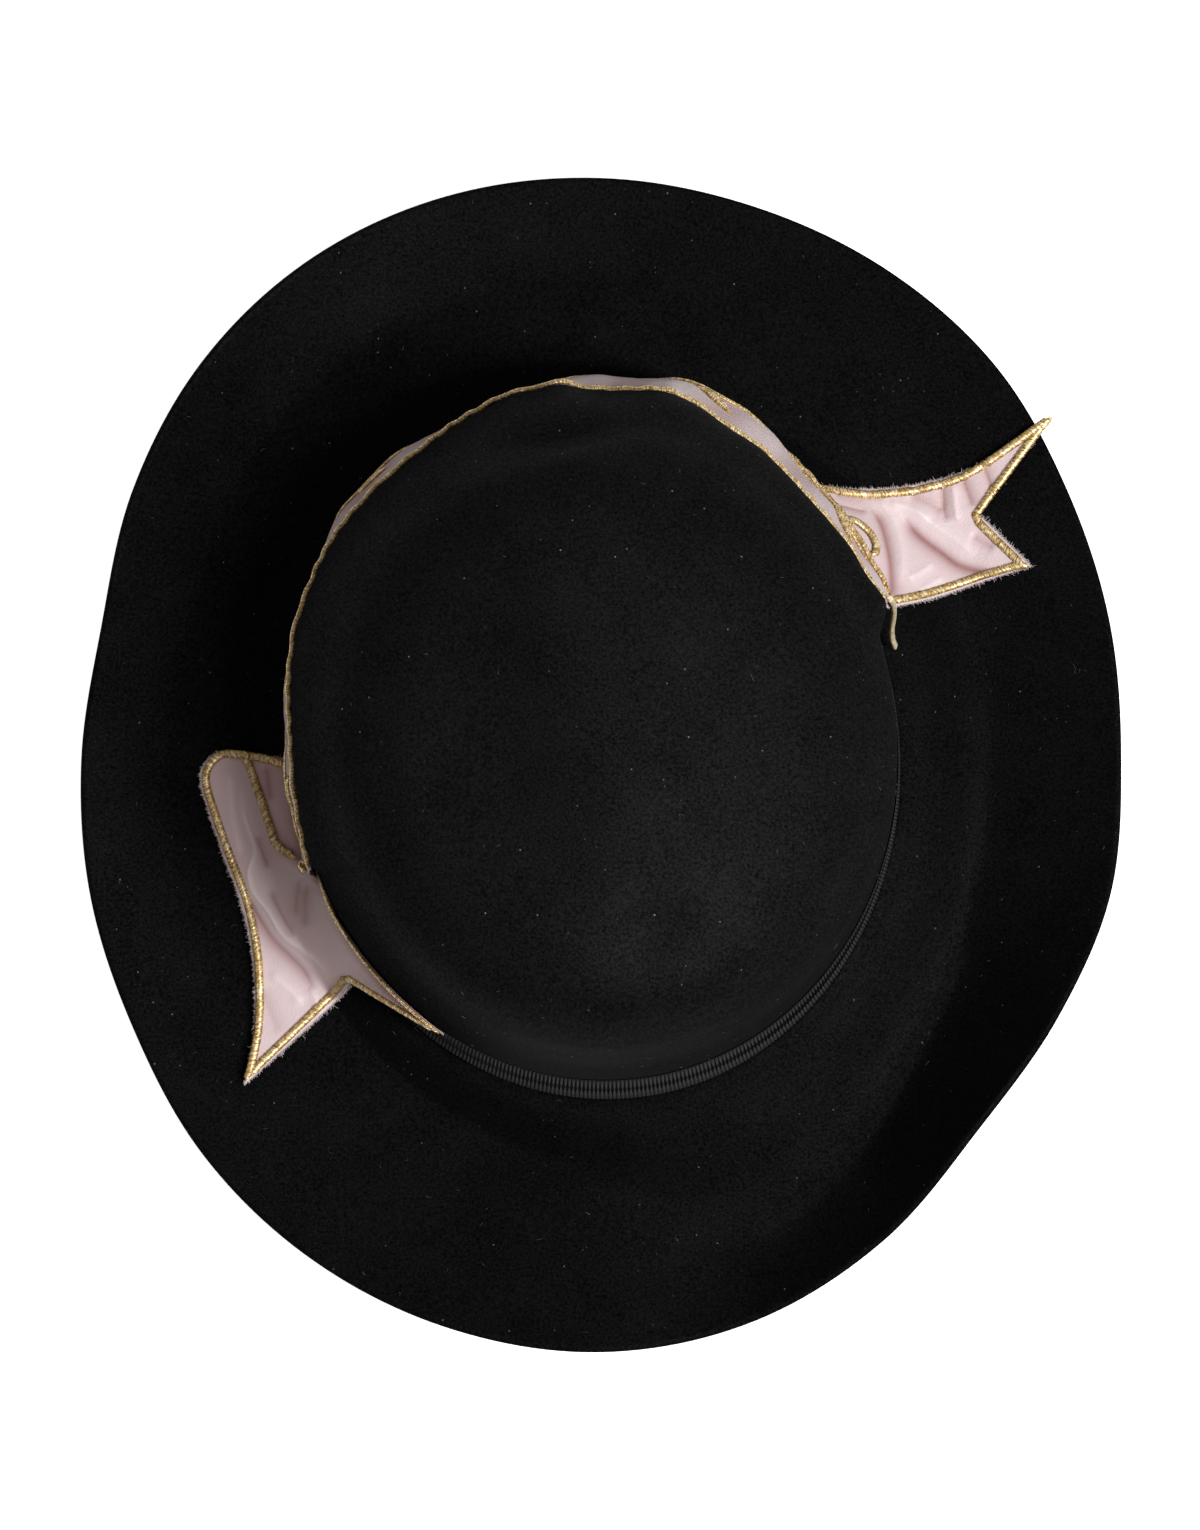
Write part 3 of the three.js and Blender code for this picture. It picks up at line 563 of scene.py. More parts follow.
def grosgrain_ribbon(settings):
    """Viscose grosgrain: black with a dull sheen; painted sheen makes its close ribs paler, and painted shade
    darkens the grooves between them, its top edge and its selvedge.
    """
    material, tree, place = new_material("viscose grosgrain")
    colour = mix(tree, "RGBA", attribute(tree, "rib"), settings.groove, settings.colour)
    normal = bumped(tree, noise(tree, place, 0.5, 2.0), 0.3, 0.1)
    shader = add_node(tree, "ShaderNodeBsdfPrincipled",
                      {"Base Color": colour, "Roughness": 0.5, "IOR": 1.5, "Specular IOR Level": 0.06,
                       "Sheen Weight": 0.05, "Sheen Roughness": 0.4, "Normal": normal})
    return finish_material(material, tree, shader, settings.colour)


def satin(settings):
    """Polyester satin: pale pink with a soft sheen; painted shade makes it warmer and deeper in its folds,
    and painted highlight paler on its ridges.
    """
    material, tree, place = new_material("polyester satin")
    # The fold attribute runs from 0 on a ridge over 0.5 where the cloth is flat to 1 in a valley: painted
    # highlight on the ridges, painted shade in the valleys
    colour = ramp(tree, attribute(tree, "fold"), (0.0, settings.ridge), (0.5, settings.colour),
                  (1.0, settings.painted_fold_shade))
    # Floats of the weave, drawn at 0.5 mm, coarser than life so that they show
    weave = noise(tree, place, 0.5, 2.0)
    soft = noise(tree, place, 4.5, 3.0)
    normal = bumped(tree, mix(tree, "FLOAT", 0.6, weave, soft), 0.45, 0.8)
    shader = add_node(tree, "ShaderNodeBsdfPrincipled",
                      {"Base Color": colour, "Roughness": 0.45, "IOR": 1.5, "Specular IOR Level": 0.4,
                       "Sheen Weight": 0.25, "Sheen Roughness": 0.35, "Normal": normal})
    return finish_material(material, tree, shader, settings.colour)


def gold_thread(settings):
    """Metallised thread, satin stitched: painted glints make single threads pale, and painted shade darkens
    the grooves between them.
    """
    material, tree, place = new_material("metallised gold thread")
    # Painted light: the tone and a fine noise pick the painted glints and the painted shade
    glint = times(tree, attribute(tree, "tone"), noise(tree, place, 0.7, 3.0, 0.7))
    colour = ramp(tree, glint, (0.08, settings.groove), (0.3, settings.colour), (0.55, settings.light))
    shader = add_node(tree, "ShaderNodeBsdfPrincipled",
                      {"Base Color": colour, "Metallic": 0.4, "Roughness": 0.4, "Specular IOR Level": 0.9})
    return finish_material(material, tree, shader, settings.colour)


def frayed_thread(settings):
    """Cut ends of the satin's threads: fine, pale and matt."""
    material, tree, place = new_material("frayed satin thread")
    colour = mix(tree, "RGBA", noise(tree, place, 2, 1.0), settings.frayed, settings.colour)
    shader = add_node(tree, "ShaderNodeBsdfPrincipled",
                      {"Base Color": colour, "Roughness": 0.7, "Sheen Weight": 0.3})
    return finish_material(material, tree, shader, settings.frayed)


def lint_thread(settings):
    """Bits of wool and dust: pale grey, matt."""
    material, tree, place = new_material("lint")
    colour = mix(tree, "RGBA", noise(tree, place, 20, 1.0), settings.light, settings.lint)
    shader = add_node(tree, "ShaderNodeBsdfPrincipled", {"Base Color": colour, "Roughness": 0.9})
    return finish_material(material, tree, shader, settings.lint)


def material_once(name, maker, settings):
    """The material of that name, made the first time that it is asked for."""
    return bpy.data.materials.get(name) or maker(settings)


def felt_surface(columns, felt):
    """The fine grid of the middle of the felt, from the brim's edge to the crown's top."""
    angle = np.linspace(0, 360, columns, endpoint=False)[None, :]
    share = np.linspace(1, 0, FELT_ROWS["brim"], endpoint=False)[:, None]
    place = (np.linspace(0, 1, FELT_ROWS["crown"]) ** FELT_ROWS["crowding"])[:, None]
    return np.concatenate([brim_middle(angle, share, felt), dented(crown_middle(angle, place))])


def build_felt(settings):
    felt = settings.thickness / MM
    columns = settings.columns
    grid = felt_surface(columns, felt)
    normals = grid_normals(grid, closed=True)
    flat = grid[..., 2] <= felt / 2 + 1e-6
    normals[flat] = (0, 0, 1)
    outer = grid + normals * felt / 2
    inner = grid - normals * felt / 2
    # The cut edge is softly rounded
    away = unit(grid[:1] - grid[1:2])
    lower = grid[:1] - normals[:1] * felt * RAW_EDGE + away * RAW_EDGE
    upper = grid[:1] + normals[:1] * felt * RAW_EDGE + away * RAW_EDGE
    stack = np.concatenate([inner[::-1], lower, upper, outer])
    points = stack.reshape(-1, 3)
    tips = np.array([inner[-1].mean(0), outer[-1].mean(0)])
    ring = np.arange(columns)
    last = len(points) - columns
    faces = [quads(len(stack), columns, round_columns=True), fan(ring, len(points), turned=True),
             fan(last + ring, len(points) + 1)]
    material = material_once("pressed wool felt", wool_felt, settings)
    piece = make_object("felt_crown_and_brim", np.concatenate([points, tips]), faces, material)
    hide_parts("felt_body")
    scatter_lint(settings, felt)


def fibres(roots, steps, bends, radius):
    """Short threads, each a three-sided tube from its root along its step, bowed by its bend."""
    count = len(roots)
    side = unit(np.cross(steps, np.roll(steps, 1, -1) + 0.3))
    other = unit(np.cross(steps, side))
    rings = []
    for t, width in ((0.0, 1.0), (0.35, 1.0), (0.7, 0.8), (1.0, 0.45)):
        middle = roots + steps * t + bends * (4 * t * (1 - t))
        for turn in (0, 2 * math.pi / 3, 4 * math.pi / 3):
            rings.append(middle + radius * width * (side * math.cos(turn) + other * math.sin(turn)))
    points = np.stack(rings, 1)
    one = quads(4, 3, round_columns=True)[:, [0, 3, 2, 1]]
    faces = (one[None] + 12 * np.arange(count)[:, None, None]).reshape(-1, 4)
    caps = np.array([(0, 1, 2), (11, 10, 9)])
    ends = (caps[None] + 12 * np.arange(count)[:, None, None]).reshape(-1, 3)
    return points.reshape(-1, 3), [faces, ends]


def scatter_lint(settings, felt):
    """Bits of pale lint that lie on the felt."""
    random = np.random.default_rng(11)
    grid = felt_surface(settings.columns, felt)
    normals = grid_normals(grid, closed=True)
    outer = grid + normals * (felt / 2 + LINT["off"])
    rows = random.integers(2, len(grid) - 12, settings.lint_count * 3)
    # A row is shorter near the axis, so fewer bits lie on it
    keep = random.random(len(rows)) < np.linalg.norm(grid[rows, 0, :2], axis=-1) / LINT["brim_reach"]
    rows = rows[keep][:settings.lint_count]
    columns = random.integers(0, settings.columns, len(rows))
    roots = outer[rows, columns]
    up = normals[rows, columns]
    along = unit(np.cross(up, random.normal(size=(len(rows), 3))))
    length = random.lognormal(LINT["length"], LINT["length_varies"], len(rows))[:, None]
    bends = np.cross(up, along) * length * random.normal(0, LINT["bend_varies"], (len(rows), 1))
    points, faces = fibres(roots, along * length, bends, settings.lint_width / MM)
    material = material_once("lint", lint_thread, settings)
    make_object("lint", points, faces, material)


def build_grosgrain(settings, felt):
    thickness = GROSGRAIN["thickness"]
    first = crown_face(np.linspace(0, 360, 721), GROSGRAIN["bottom"], felt)
    around = np.radians(0.5) * first.sum()
    ribs = int(around / (settings.rib_pitch / MM))
    columns = ribs * 4
    angle = np.linspace(0, 360, columns, endpoint=False)[None, :]
    ridge = np.tile((0.0, 0.7, 1.0, 0.7), ribs)[None, :]
    # Bottom selvedge, its groove, then ribs up to the top edge
    low, high = GROSGRAIN["bottom"], GROSGRAIN["top"]
    selvedge, groove = GROSGRAIN["selvedge"], GROSGRAIN["groove"]
    tall = high - low
    rows = table(
        "height out ribbed shown",
        (low, -0.2, 0, 0.2), (low + 0.1, 0.2, 0.7, 0.3), (low + selvedge / 2, 0.28, 0.7, 0.4),
        (low + selvedge, 0.27, 0.8, 0.5), (low + selvedge + groove, 0.24, 1, 0.9),
        (low + 0.2 * tall, 0.17, 1, 1), (low + 0.4 * tall, 0.04, 1, 1), (low + 0.6 * tall, -0.12, 1, 1),
        (low + 0.8 * tall, -0.3, 1, 0.8), (high - 0.7, -0.46, 1, 0.4), (high - 0.3, -0.52, 0.8, 0.2),
        (high, -0.64, 0.3, 0.15),
    )
    height = rows["height"][:, None]
    out = rows["out"][:, None] + settings.rib_depth / MM * rows["ribbed"][:, None] * (ridge - 1)
    outer = on_circle(angle, crown_face(angle, height, felt) + GAP + thickness + out, height)
    back_height = np.array((high, low))[:, None]
    inner = on_circle(angle, crown_face(angle, back_height, felt) + GAP, back_height)
    stack = np.concatenate([outer, inner])
    # Painted light: the rib attribute paints sheen on the ribs and shade in the grooves, and the shown column
    # dims the top edge and the selvedge as shade
    lit = (0.12 + 0.88 * ridge ** 2) * rows["shown"][:, None]
    values = np.concatenate([lit, np.zeros(inner.shape[:2])])
    material = material_once("viscose grosgrain", grosgrain_ribbon, settings)
    piece = make_object("grosgrain_ribbon", stack, [quads(len(stack), columns, True, True)], material,
                        {"rib": values})
    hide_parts("grosgrain_band")


def facing(grid):
    """1 if the grid's normals look up or away from the crown, -1 if they look down or in."""
    normals = grid_normals(grid)
    radial = on_circle(angle_of(grid), 1.0, 1.0)
    return 1 if (normals * radial).sum() > 0 else -1


def cloth_object(name, grid, thickness, material, values):
    """A sheet of cloth round the middle surface grid, with soft edges."""
    if facing(grid) < 0:
        grid = grid[:, ::-1]
        values = {key: numbers[:, ::-1] for key, numbers in values.items()}
    rows, columns = grid.shape[:2]
    inside = np.ones((rows, columns))
    inside[0] = inside[-1] = THIN_EDGE
    inside[:, 0] = inside[:, -1] = THIN_EDGE
    half = grid_normals(grid) * (thickness / 2 * inside)[..., None]
    number = np.arange(rows * columns).reshape(rows, columns)
    loop = np.concatenate([number[0, :-1], number[:-1, -1], number[-1, :0:-1], number[:0:-1, 0]])
    after = np.roll(loop, -1)
    under = rows * columns
    top = quads(rows, columns)
    rim = np.stack([after, loop, loop + under, after + under], -1)
    points = np.concatenate([(grid + half).reshape(-1, 3), (grid - half).reshape(-1, 3)])
    doubled = {key: np.concatenate([numbers.ravel()] * 2) for key, numbers in values.items()}
    return make_object(name, points, [top, (top + under)[:, ::-1], rim], material, doubled)


def near_path(points, path):
    """Distance on the table plane from each point to a smooth curve, positive on its left, and the
    share of the curve at which it is nearest."""
    places = np.array(path, float)
    knots = travelled(places)
    count = max(12, int(knots[-1] / PATH_STEP))
    at = np.linspace(0, knots[-1], count)
    if len(places) > 2:
        curve = np.stack([smooth_through(knots, places[:, i], at) for i in range(2)], -1)
    else:
        curve = np.stack([np.interp(at, knots, places[:, i]) for i in range(2)], -1)
    flat = points[..., :2].reshape(-1, 1, 2)
    best = np.linalg.norm(flat - curve[None], axis=-1).argmin(1)
    offset = flat[:, 0] - curve[best]
    ahead = np.gradient(curve, axis=0)[best]
    side = np.sign(ahead[:, 0] * offset[:, 1] - ahead[:, 1] * offset[:, 0])
    away = np.linalg.norm(offset, axis=1) * side
    return away.reshape(points.shape[:-1]), (best / (count - 1)).reshape(points.shape[:-1])


def crease_height(points, creases):
    """How far creases lift a sheet at each point: sharp along the crease, faded at its ends, and
    steeper on one side of it where it leans."""
    height = np.zeros(points.shape[:-1])
    crest = CREASE["crest"]
    for row in creases:
        away, share = near_path(points, row["path"])
        width = row["width"] * (1 + row["lean"] * np.sign(away))
        ends = smoothstep(share, 0.0, CREASE["fades"]) * (1 - smoothstep(share, 1 - CREASE["fades"], 1.0))
        height += row["height"] * ends * np.exp(-CREASE["steep"] * (np.hypot(away / width, crest) - crest))
    return height


def rippled(u, v):
    return np.sin(u * RIPPLE["waves"] + v * RIPPLE["slant"])


def banner_surface(u, v, felt):
    """The middle of the banner: u from its left end round the front, v from its bottom edge up."""
    angle = BANNER["start"] + (BANNER["end"] - BANNER["start"]) * u
    height = BANNER["bottom"] + (BANNER["top"] - BANNER["bottom"]) * v
    lean = read(BANNER_LEAN, "angle", angle)
    rising = smoothstep(v, BANNER["belly"], 1.1) / smoothstep(1.0, BANNER["belly"], 1.1)
    falling = np.clip(1 - v / BANNER["belly"], 0, 1) ** 1.5
    stand = (lean["belly"] + (lean["top"] - lean["belly"]) * rising
             + (lean["bottom"] - lean["belly"]) * falling)
    # The cloth puckers between its stitched borders
    drift = PUCKER["drift"] * np.sin(u * PUCKER["drift_waves"])
    near_edge = np.exp(-v / PUCKER["fades"]) + np.exp(-(1 - v) / PUCKER["fades"])
    pucker = PUCKER["height"] * np.sin(u * PUCKER["waves"] + drift) * near_edge
    ripple = RIPPLE["height"] * rippled(u, v) * np.sin(np.pi * np.clip(v, 0.05, 0.95))
    easing = smoothstep(v, RIBBON_SHARE, 0.9)
    clear = CLEAR_OF_RIBBON + (CLEAR_OF_FELT - CLEAR_OF_RIBBON) * easing
    reach = crown_face(angle, height, felt) + np.maximum(stand + pucker + ripple, clear)
    return on_circle(angle, reach, height)


def notched(points, notch, u, v):
    share = np.where(v < notch["share"], v / notch["share"], (1 - v) / (1 - notch["share"]))
    depth = notch["depth"] * share * u ** NOTCH_FADE
    moved = points.copy()
    moved[..., 0] += notch["towards"][0] * depth
    moved[..., 1] += notch["towards"][1] * depth
    return moved


def left_tail_surface(u, v, felt):
    crown_angle = even(LEFT_TAIL["crown_angle"], u)
    crown_height = even(LEFT_TAIL["crown_height"], u)
    reach = crown_face(crown_angle, crown_height, felt) + LEFT_LEAN["stand_off"]
    inner = on_circle(crown_angle, reach, 0 * u)
    outer = np.stack([even(LEFT_TAIL["x"], u), even(LEFT_TAIL["y"], u), 0 * u], -1)
    points = notched(outer + (inner - outer) * v[..., None], LEFT_NOTCH, u, v)
    away = np.hypot(points[..., 0], points[..., 1]) - crown_face(angle_of(points), crown_height, felt)
    slope = np.clip((LEFT_LEAN["reach"] - away) / (LEFT_LEAN["reach"] - LEFT_LEAN["stand_off"]), 0, 1)
    lying = brim_top(points, felt) + TAIL_GAP
    risen = lying + (np.maximum(crown_height, lying) - lying) * slope ** LEFT_LEAN["power"]
    step = FOLD_STEP * (1 - smoothstep(fold_side(u, v), -0.012, 0.012))
    points[..., 2] = risen + step + crease_height(points, LEFT_CREASES)
    return points


def fold_side(u, v):
    """Below 0 on the upper layer of the left tail, above 0 on the layer under its fold line."""
    line = np.array(FOLD_LINE)
    border = np.interp(v, line[:, 1], line[:, 0], left=-0.2)
    return border - u


def left_tail_painted_shade(u, v):
    """Painted shade: how much deeper the left tail's colour is made where it lies in shade, on its upper
    part, on the layer under its fold line, and where its inner point turns in to the crown."""
    # Painted shade: folded darkens the upper part, beneath the layer under the fold line, turned the
    # turned-in point
    folded = 0.12 * (1 - smoothstep(u, 0.4, 0.62))
    beneath = 0.12 * smoothstep(fold_side(u, v), 0, 0.02)
    turned = 0.4 * smoothstep(v, 0.8, 0.95) * smoothstep(u, 0.62, 0.78)
    return folded + beneath + turned


def right_tail_surface(u, v, felt):
    front = np.stack([even(RIGHT_TAIL["front_x"], u), even(RIGHT_TAIL["front_y"], u), 0 * u], -1)
    back = np.stack([even(RIGHT_TAIL["back_x"], u), even(RIGHT_TAIL["back_y"], u), 0 * u], -1)
    points = notched(front + (back - front) * v[..., None], RIGHT_NOTCH, u, v)
    points[..., 2] = brim_top(points, felt) + TAIL_GAP + crease_height(points, RIGHT_CREASES)
    return points


def grid_places(grid):
    """The place (u, v) of each point of a sheet's grid."""
    rows, columns = grid
    return np.meshgrid(np.linspace(0, 1, rows), np.linspace(0, 1, columns), indexing="ij")


def build_banner(settings, felt):
    u, v = grid_places(BANNER_GRID)
    grid = banner_surface(u, v, felt)
    material = material_once("polyester satin", satin, settings)
    # Painted shade in the ripples' valleys, through the fold colour
    shade = np.clip(0.55 - RIPPLE["shade"] * rippled(u, v), 0, 1)
    piece = cloth_object("satin_band", grid, settings.thickness / MM, material, {"fold": shade})
    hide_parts("banner_band")


def build_tail(name, surface, creases, sheet, settings, felt, doubled=None):
    u, v = grid_places(sheet["grid"])
    grid = surface(u, v, felt)
    material = material_once("polyester satin", satin, settings)
    # Painted light: creases paint their ridges paler as highlight and their valleys deeper as shade
    shade = 0.5 - crease_height(grid, creases) / 3
    # The left tail adds painted shade where it lies in the crown's shadow
    if doubled is not None:
        shade = shade + doubled(u, v)
    shade = np.clip(shade, 0, 1)
    piece = cloth_object(name, grid, settings.thickness / MM, material, {"fold": shade})
    return piece


def path_on(surface, u, v, felt):
    """Points and outward normals of a sheet's middle along a run of places."""
    small = 0.004
    here = surface(u, v, felt)
    along = surface(np.clip(u + small, 0, 1), v, felt) - surface(np.clip(u - small, 0, 1), v, felt)
    across = surface(u, np.clip(v + small, 0, 1), felt) - surface(u, np.clip(v - small, 0, 1), felt)
    normal = unit(np.cross(across, along))
    if (normal * on_circle(angle_of(here), 1.0, 1.0)).sum() < 0:
        normal = -normal
    return here, normal


def border_run(surface, edge, start, end, inset, felt, tip=(0.0, 0.0)):
    """A border along one edge of a sheet, drawn in from it; at each end the inset may shrink."""
    share = np.linspace(start, end, RUN_PLACES)
    u_edge = edge[0] == "u"
    far = edge[1] == "1"
    small = 0.01
    zero = np.zeros_like(share)

    def place(depth):
        across = 1 - depth if far else depth
        return (across, share) if u_edge else (share, across)

    step = np.linalg.norm(surface(*place(zero + small), felt) - surface(*place(zero), felt), axis=-1)
    t = np.linspace(0, 1, len(share))
    shrinks, within = POINTED_END["shrinks"], POINTED_END["within"]
    shrink = 1 - shrinks * np.exp(-t / within) * tip[0] - shrinks * np.exp(-(1 - t) / within) * tip[1]
    return path_on(surface, *place(small * inset * shrink / np.maximum(step, 1e-6)), felt)


def resample(points, normals, step):
    """The same run with evenly spaced places."""
    reached = travelled(points)
    at = np.linspace(0, reached[-1], max(4, int(reached[-1] / step)))
    new_points = np.stack([np.interp(at, reached, points[:, i]) for i in range(3)], -1)
    new_normals = np.stack([np.interp(at, reached, normals[:, i]) for i in range(3)], -1)
    return new_points, unit(new_normals)


def softened(points, times_over):
    """A run with its small wiggles smoothed away; its ends stay."""
    for _ in range(times_over):
        middle = (points[:-2] + 2 * points[1:-1] + points[2:]) / 4
        points = np.concatenate([points[:1], middle, points[-1:]])
    return points


def stitched_cord(points, normals, size, pitch, random, leaf=False):
    """A padded cord covered with threads across its run. Returns points, faces and tones."""
    points, normals = resample(points, normals, pitch / 2)
    if not leaf:
        points = softened(points, 2)
        normals = softened(normals, 12)
    count = len(points)
    tangent = unit(np.gradient(points, axis=0))
    side = unit(np.cross(tangent, normals))
    up = np.cross(side, tangent)
    turn = np.linspace(0, 2 * np.pi, CORD_SIDES, endpoint=False)[None, :]
    thread = np.repeat(np.arange((count + 1) // 2), 2)[:count]
    threads = thread.max() + 1
    wide = 1 + random.normal(0, STITCH["width_varies"], threads)[thread]
    high = 1 + random.normal(0, STITCH["height_varies"], threads)[thread]
    shine = random.normal(size.get("tone", STITCH["tone"]), STITCH["tone_varies"], threads)
    bright = np.clip(shine, 0.2, 2)[thread]
    ridge = np.where(np.arange(count) % 2 == 0, 1.0, 0.8)
    t = np.linspace(0, 1, count)
    if leaf:
        swell = np.sin(np.pi * np.clip(t, 0.02, 0.98)) ** 0.7
    else:
        swell = np.clip(np.minimum(t, 1 - t) * count / 5, 0.45, 1)
    width = size["width"] * wide * (0.75 + 0.25 * ridge) * swell
    height = size["height"] * high * ridge * swell ** 0.6
    rounded = np.where(np.sin(turn) > 0, np.sin(turn), 0.35 * np.sin(turn))
    slant = size.get("slant", STITCH["slant"]) * size["width"] * np.cos(turn)
    if leaf:
        # A leaf's threads meet in a groove along its middle
        groove = LEAF_GROOVE["depth"] * np.exp(-(np.cos(turn) / LEAF_GROOVE["width"]) ** 2)
        rounded = rounded * (1 - groove)
        slant = STITCH["slant"] * size["width"] * np.abs(np.cos(turn))
    ring = (points[:, None] + side[:, None] * (width[:, None] * np.cos(turn))[..., None]
            + up[:, None] * (height[:, None] * rounded)[..., None] + tangent[:, None] * slant[..., None])
    # Painted light: spark paints glints on single places, crest paints the cord's top paler and its sides
    # darker as shade, and every other ring is darker as shade between threads
    spark = np.clip(random.lognormal(-0.1, STITCH["spark_varies"], (count, CORD_SIDES)), 0.3, 2.6)
    crest = 0.55 + 0.6 * np.clip(np.sin(turn), 0, 1)
    tone = (bright * np.where(ridge == 1, 1.0, 0.75))[:, None] * spark * crest
    flat = ring.reshape(-1, 3)
    first = np.arange(CORD_SIDES)
    ends = np.array([points[0], points[-1]])
    faces = [quads(count, CORD_SIDES, round_columns=True), fan(first, len(flat), turned=True),
             fan(len(flat) - CORD_SIDES + first, len(flat) + 1)]
    return np.concatenate([flat, ends]), faces, np.append(tone.ravel(), (0.5, 0.5))


def gold_piece(name, node, cord, settings):
    """A piece of gold from a cord's points, faces and tones, in the place of a CAD node."""
    points, faces, tones = cord
    material = material_once("metallised gold thread", gold_thread, settings)
    piece = make_object(name, points, faces, material, {"tone": tones})
    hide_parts(node)


def places_run(surface, line, felt):
    """A smooth run through a few places (u, v) of a sheet."""
    line = np.array(line)
    knots = travelled(line)
    at = np.linspace(0, knots[-1], 200)
    u, v = (smooth_through(knots, line[:, i], at) for i in range(2))
    return path_on(surface, u, v, felt)


def build_borders(settings, felt, cloth):
    random = np.random.default_rng(23)
    wide = {"width": settings.cord_width / MM / 2, "height": 1.0}
    thin = {"width": settings.cord_width / MM / 3, "height": 0.7}
    inset = wide["width"] + 0.4
    raw = inset + 0.5

    def run(surface, edge, start, end, tip=(0, 0), depth=inset):
        return border_run(surface, edge, start, end, depth, felt, tip)

    def border(name, node, size, *runs):
        points, normals = (np.concatenate([part[i] for part in runs]) for i in range(2))
        lifted = points + normals * (cloth / 2 + size["height"] * 0.2)
        cord = stitched_cord(lifted, normals, size, settings.pitch / MM, random)
        gold_piece(name, node, cord, settings)

    # The top border is seen lying on the cloth's edge
    points, normals = run(banner_surface, "v1", 0.002, 0.998, depth=0.4)
    border("gold_border_band_top", "gold_edge_band_top", TOP_CORD, (points, unit(0.35 * normals + (0, 0, 1))))
    border("gold_border_band_bottom", "gold_edge_band_bottom", wide, run(banner_surface, "v0", 0.002, 0.998))
    border("gold_border_left_outer", "gold_edge_left_long", wide, run(left_tail_surface, "u0", 0.9, 0.25),
           run(left_tail_surface, "v0", 0.06, 0.995, (0, 1)))
    border("gold_border_left_end", "gold_edge_left_end", wide,
           run(left_tail_surface, "u1", 0.03, 0.6, (1, 0), raw),
           run(left_tail_surface, "u1", 0.64, 0.99, depth=raw))
    border("gold_border_left_crown", "gold_edge_left_crown", thin,
           run(left_tail_surface, "v1", 0.44, 0.995, (0, 1), 0.5))
    points, normals = places_run(left_tail_surface, FOLD_LINE, felt)
    points[:, 2] += FOLD_STEP / 2 + 0.3
    normals[:] = (0, 0, 1)
    border("gold_fold_line", "gold_fold_left", wide, (points, normals))
    border("gold_border_right_front", "gold_edge_right_front", wide,
           run(right_tail_surface, "v0", 0.0, 0.998, (0, 1)))
    border("gold_border_right_end", "gold_edge_right_end", wide,
           run(right_tail_surface, "u1", 0.03, 0.68, (1, 0)),
           run(right_tail_surface, "u1", 0.73, 0.985, (0, 1)))
    border("gold_border_right_back", "gold_edge_right_back", wide,
           run(right_tail_surface, "v1", 0.0, 0.995, (0, 1)))
    points, normals = places_run(right_tail_surface, CURL, felt)
    border("gold_curl", "gold_curl_right", wide, (points + (0, 0, 0.5), normals))


def off_crown(row, felt):
    """A place off the crown's face."""
    reach = crown_face(row["angle"], row["height"], felt) + row["out"]
    return on_circle(row["angle"], reach, row["height"])


def build_loose_cord(settings, felt):
    random = np.random.default_rng(31)
    knots = np.arange(len(LOOSE_END["angle"]), dtype=float)
    at = np.linspace(0, knots[-1], 120)
    row = {name: smooth_through(knots, LOOSE_END[name], at) for name in LOOSE_END}
    loose = stitched_cord(off_crown(row, felt), on_circle(row["angle"], 1.0, 0.0), LOOSE_CORD,
                          settings.pitch / MM, random)
    gold_piece("gold_loose_cord", "gold_loose_end", loose, settings)
    # A knot is the same cord, wound twice round a small ring
    turn = np.linspace(0, 4 * np.pi, 90)
    out = on_circle(KNOT["angle"], 1.0, 0.0)
    side = np.cross(out, (0, 0, 1))
    round_ring = np.cos(turn)[:, None] * side + np.sin(turn)[:, None] * np.array((0, 0, 1))
    winding = off_crown(KNOT, felt) + KNOT["radius"] * round_ring
    winding = winding + out * (KNOT["sway"] * np.sin(turn * 1.5))[:, None]
    knot = stitched_cord(winding, np.tile(out, (len(turn), 1)), KNOT_CORD, settings.pitch / MM, random)
    gold_piece("gold_tied_knot", "gold_knot", knot, settings)


def build_embroidery(settings, felt, cloth):
    random = np.random.default_rng(47)
    pitch = settings.pitch / MM
    bends = np.linspace(0, STEM["bends"], 500)
    height = BANNER["top"] - BANNER["bottom"]

    def along_stem(bend):
        return STEM["start"] + (STEM["end"] - STEM["start"]) * bend / STEM["bends"]

    v = STEM["middle"] + STEM["swing"] / height * np.sin(bends * np.pi)
    points, normals = path_on(banner_surface, along_stem(bends), v, felt)
    lifted = points + normals * (cloth / 2 + STEM_CORD["height"] * 0.2)
    gold_piece("gold_stem_stitches", "gold_stem", stitched_cord(lifted, normals, STEM_CORD, pitch, random),
               settings)
    # Millimetres round the crown from one end of the banner to the other, at its mean reach
    around = np.pi / 180 * MEAN_REACH * (BANNER["start"] - BANNER["end"])
    t = np.linspace(-LEAF["length"], LEAF["length"], 60)
    for bend in range(STEM["bends"]):
        up = 1 if bend % 2 == 0 else -1
        v_leaf = STEM["middle"] + up * (STEM["swing"] + LEAF["from_stem"]) / height
        lean = math.radians(up * LEAF["lean"])
        points, normals = path_on(banner_surface, along_stem(bend + 0.5) + t * math.cos(lean) / around,
                                  v_leaf + t * math.sin(lean) / height, felt)
        leaf = stitched_cord(points + normals * cloth / 2, normals, LEAF, pitch, random, leaf=True)
        gold_piece(f"gold_leaf_stitches_{bend + 1}", f"gold_leaf_{bend + 1}", leaf, settings)


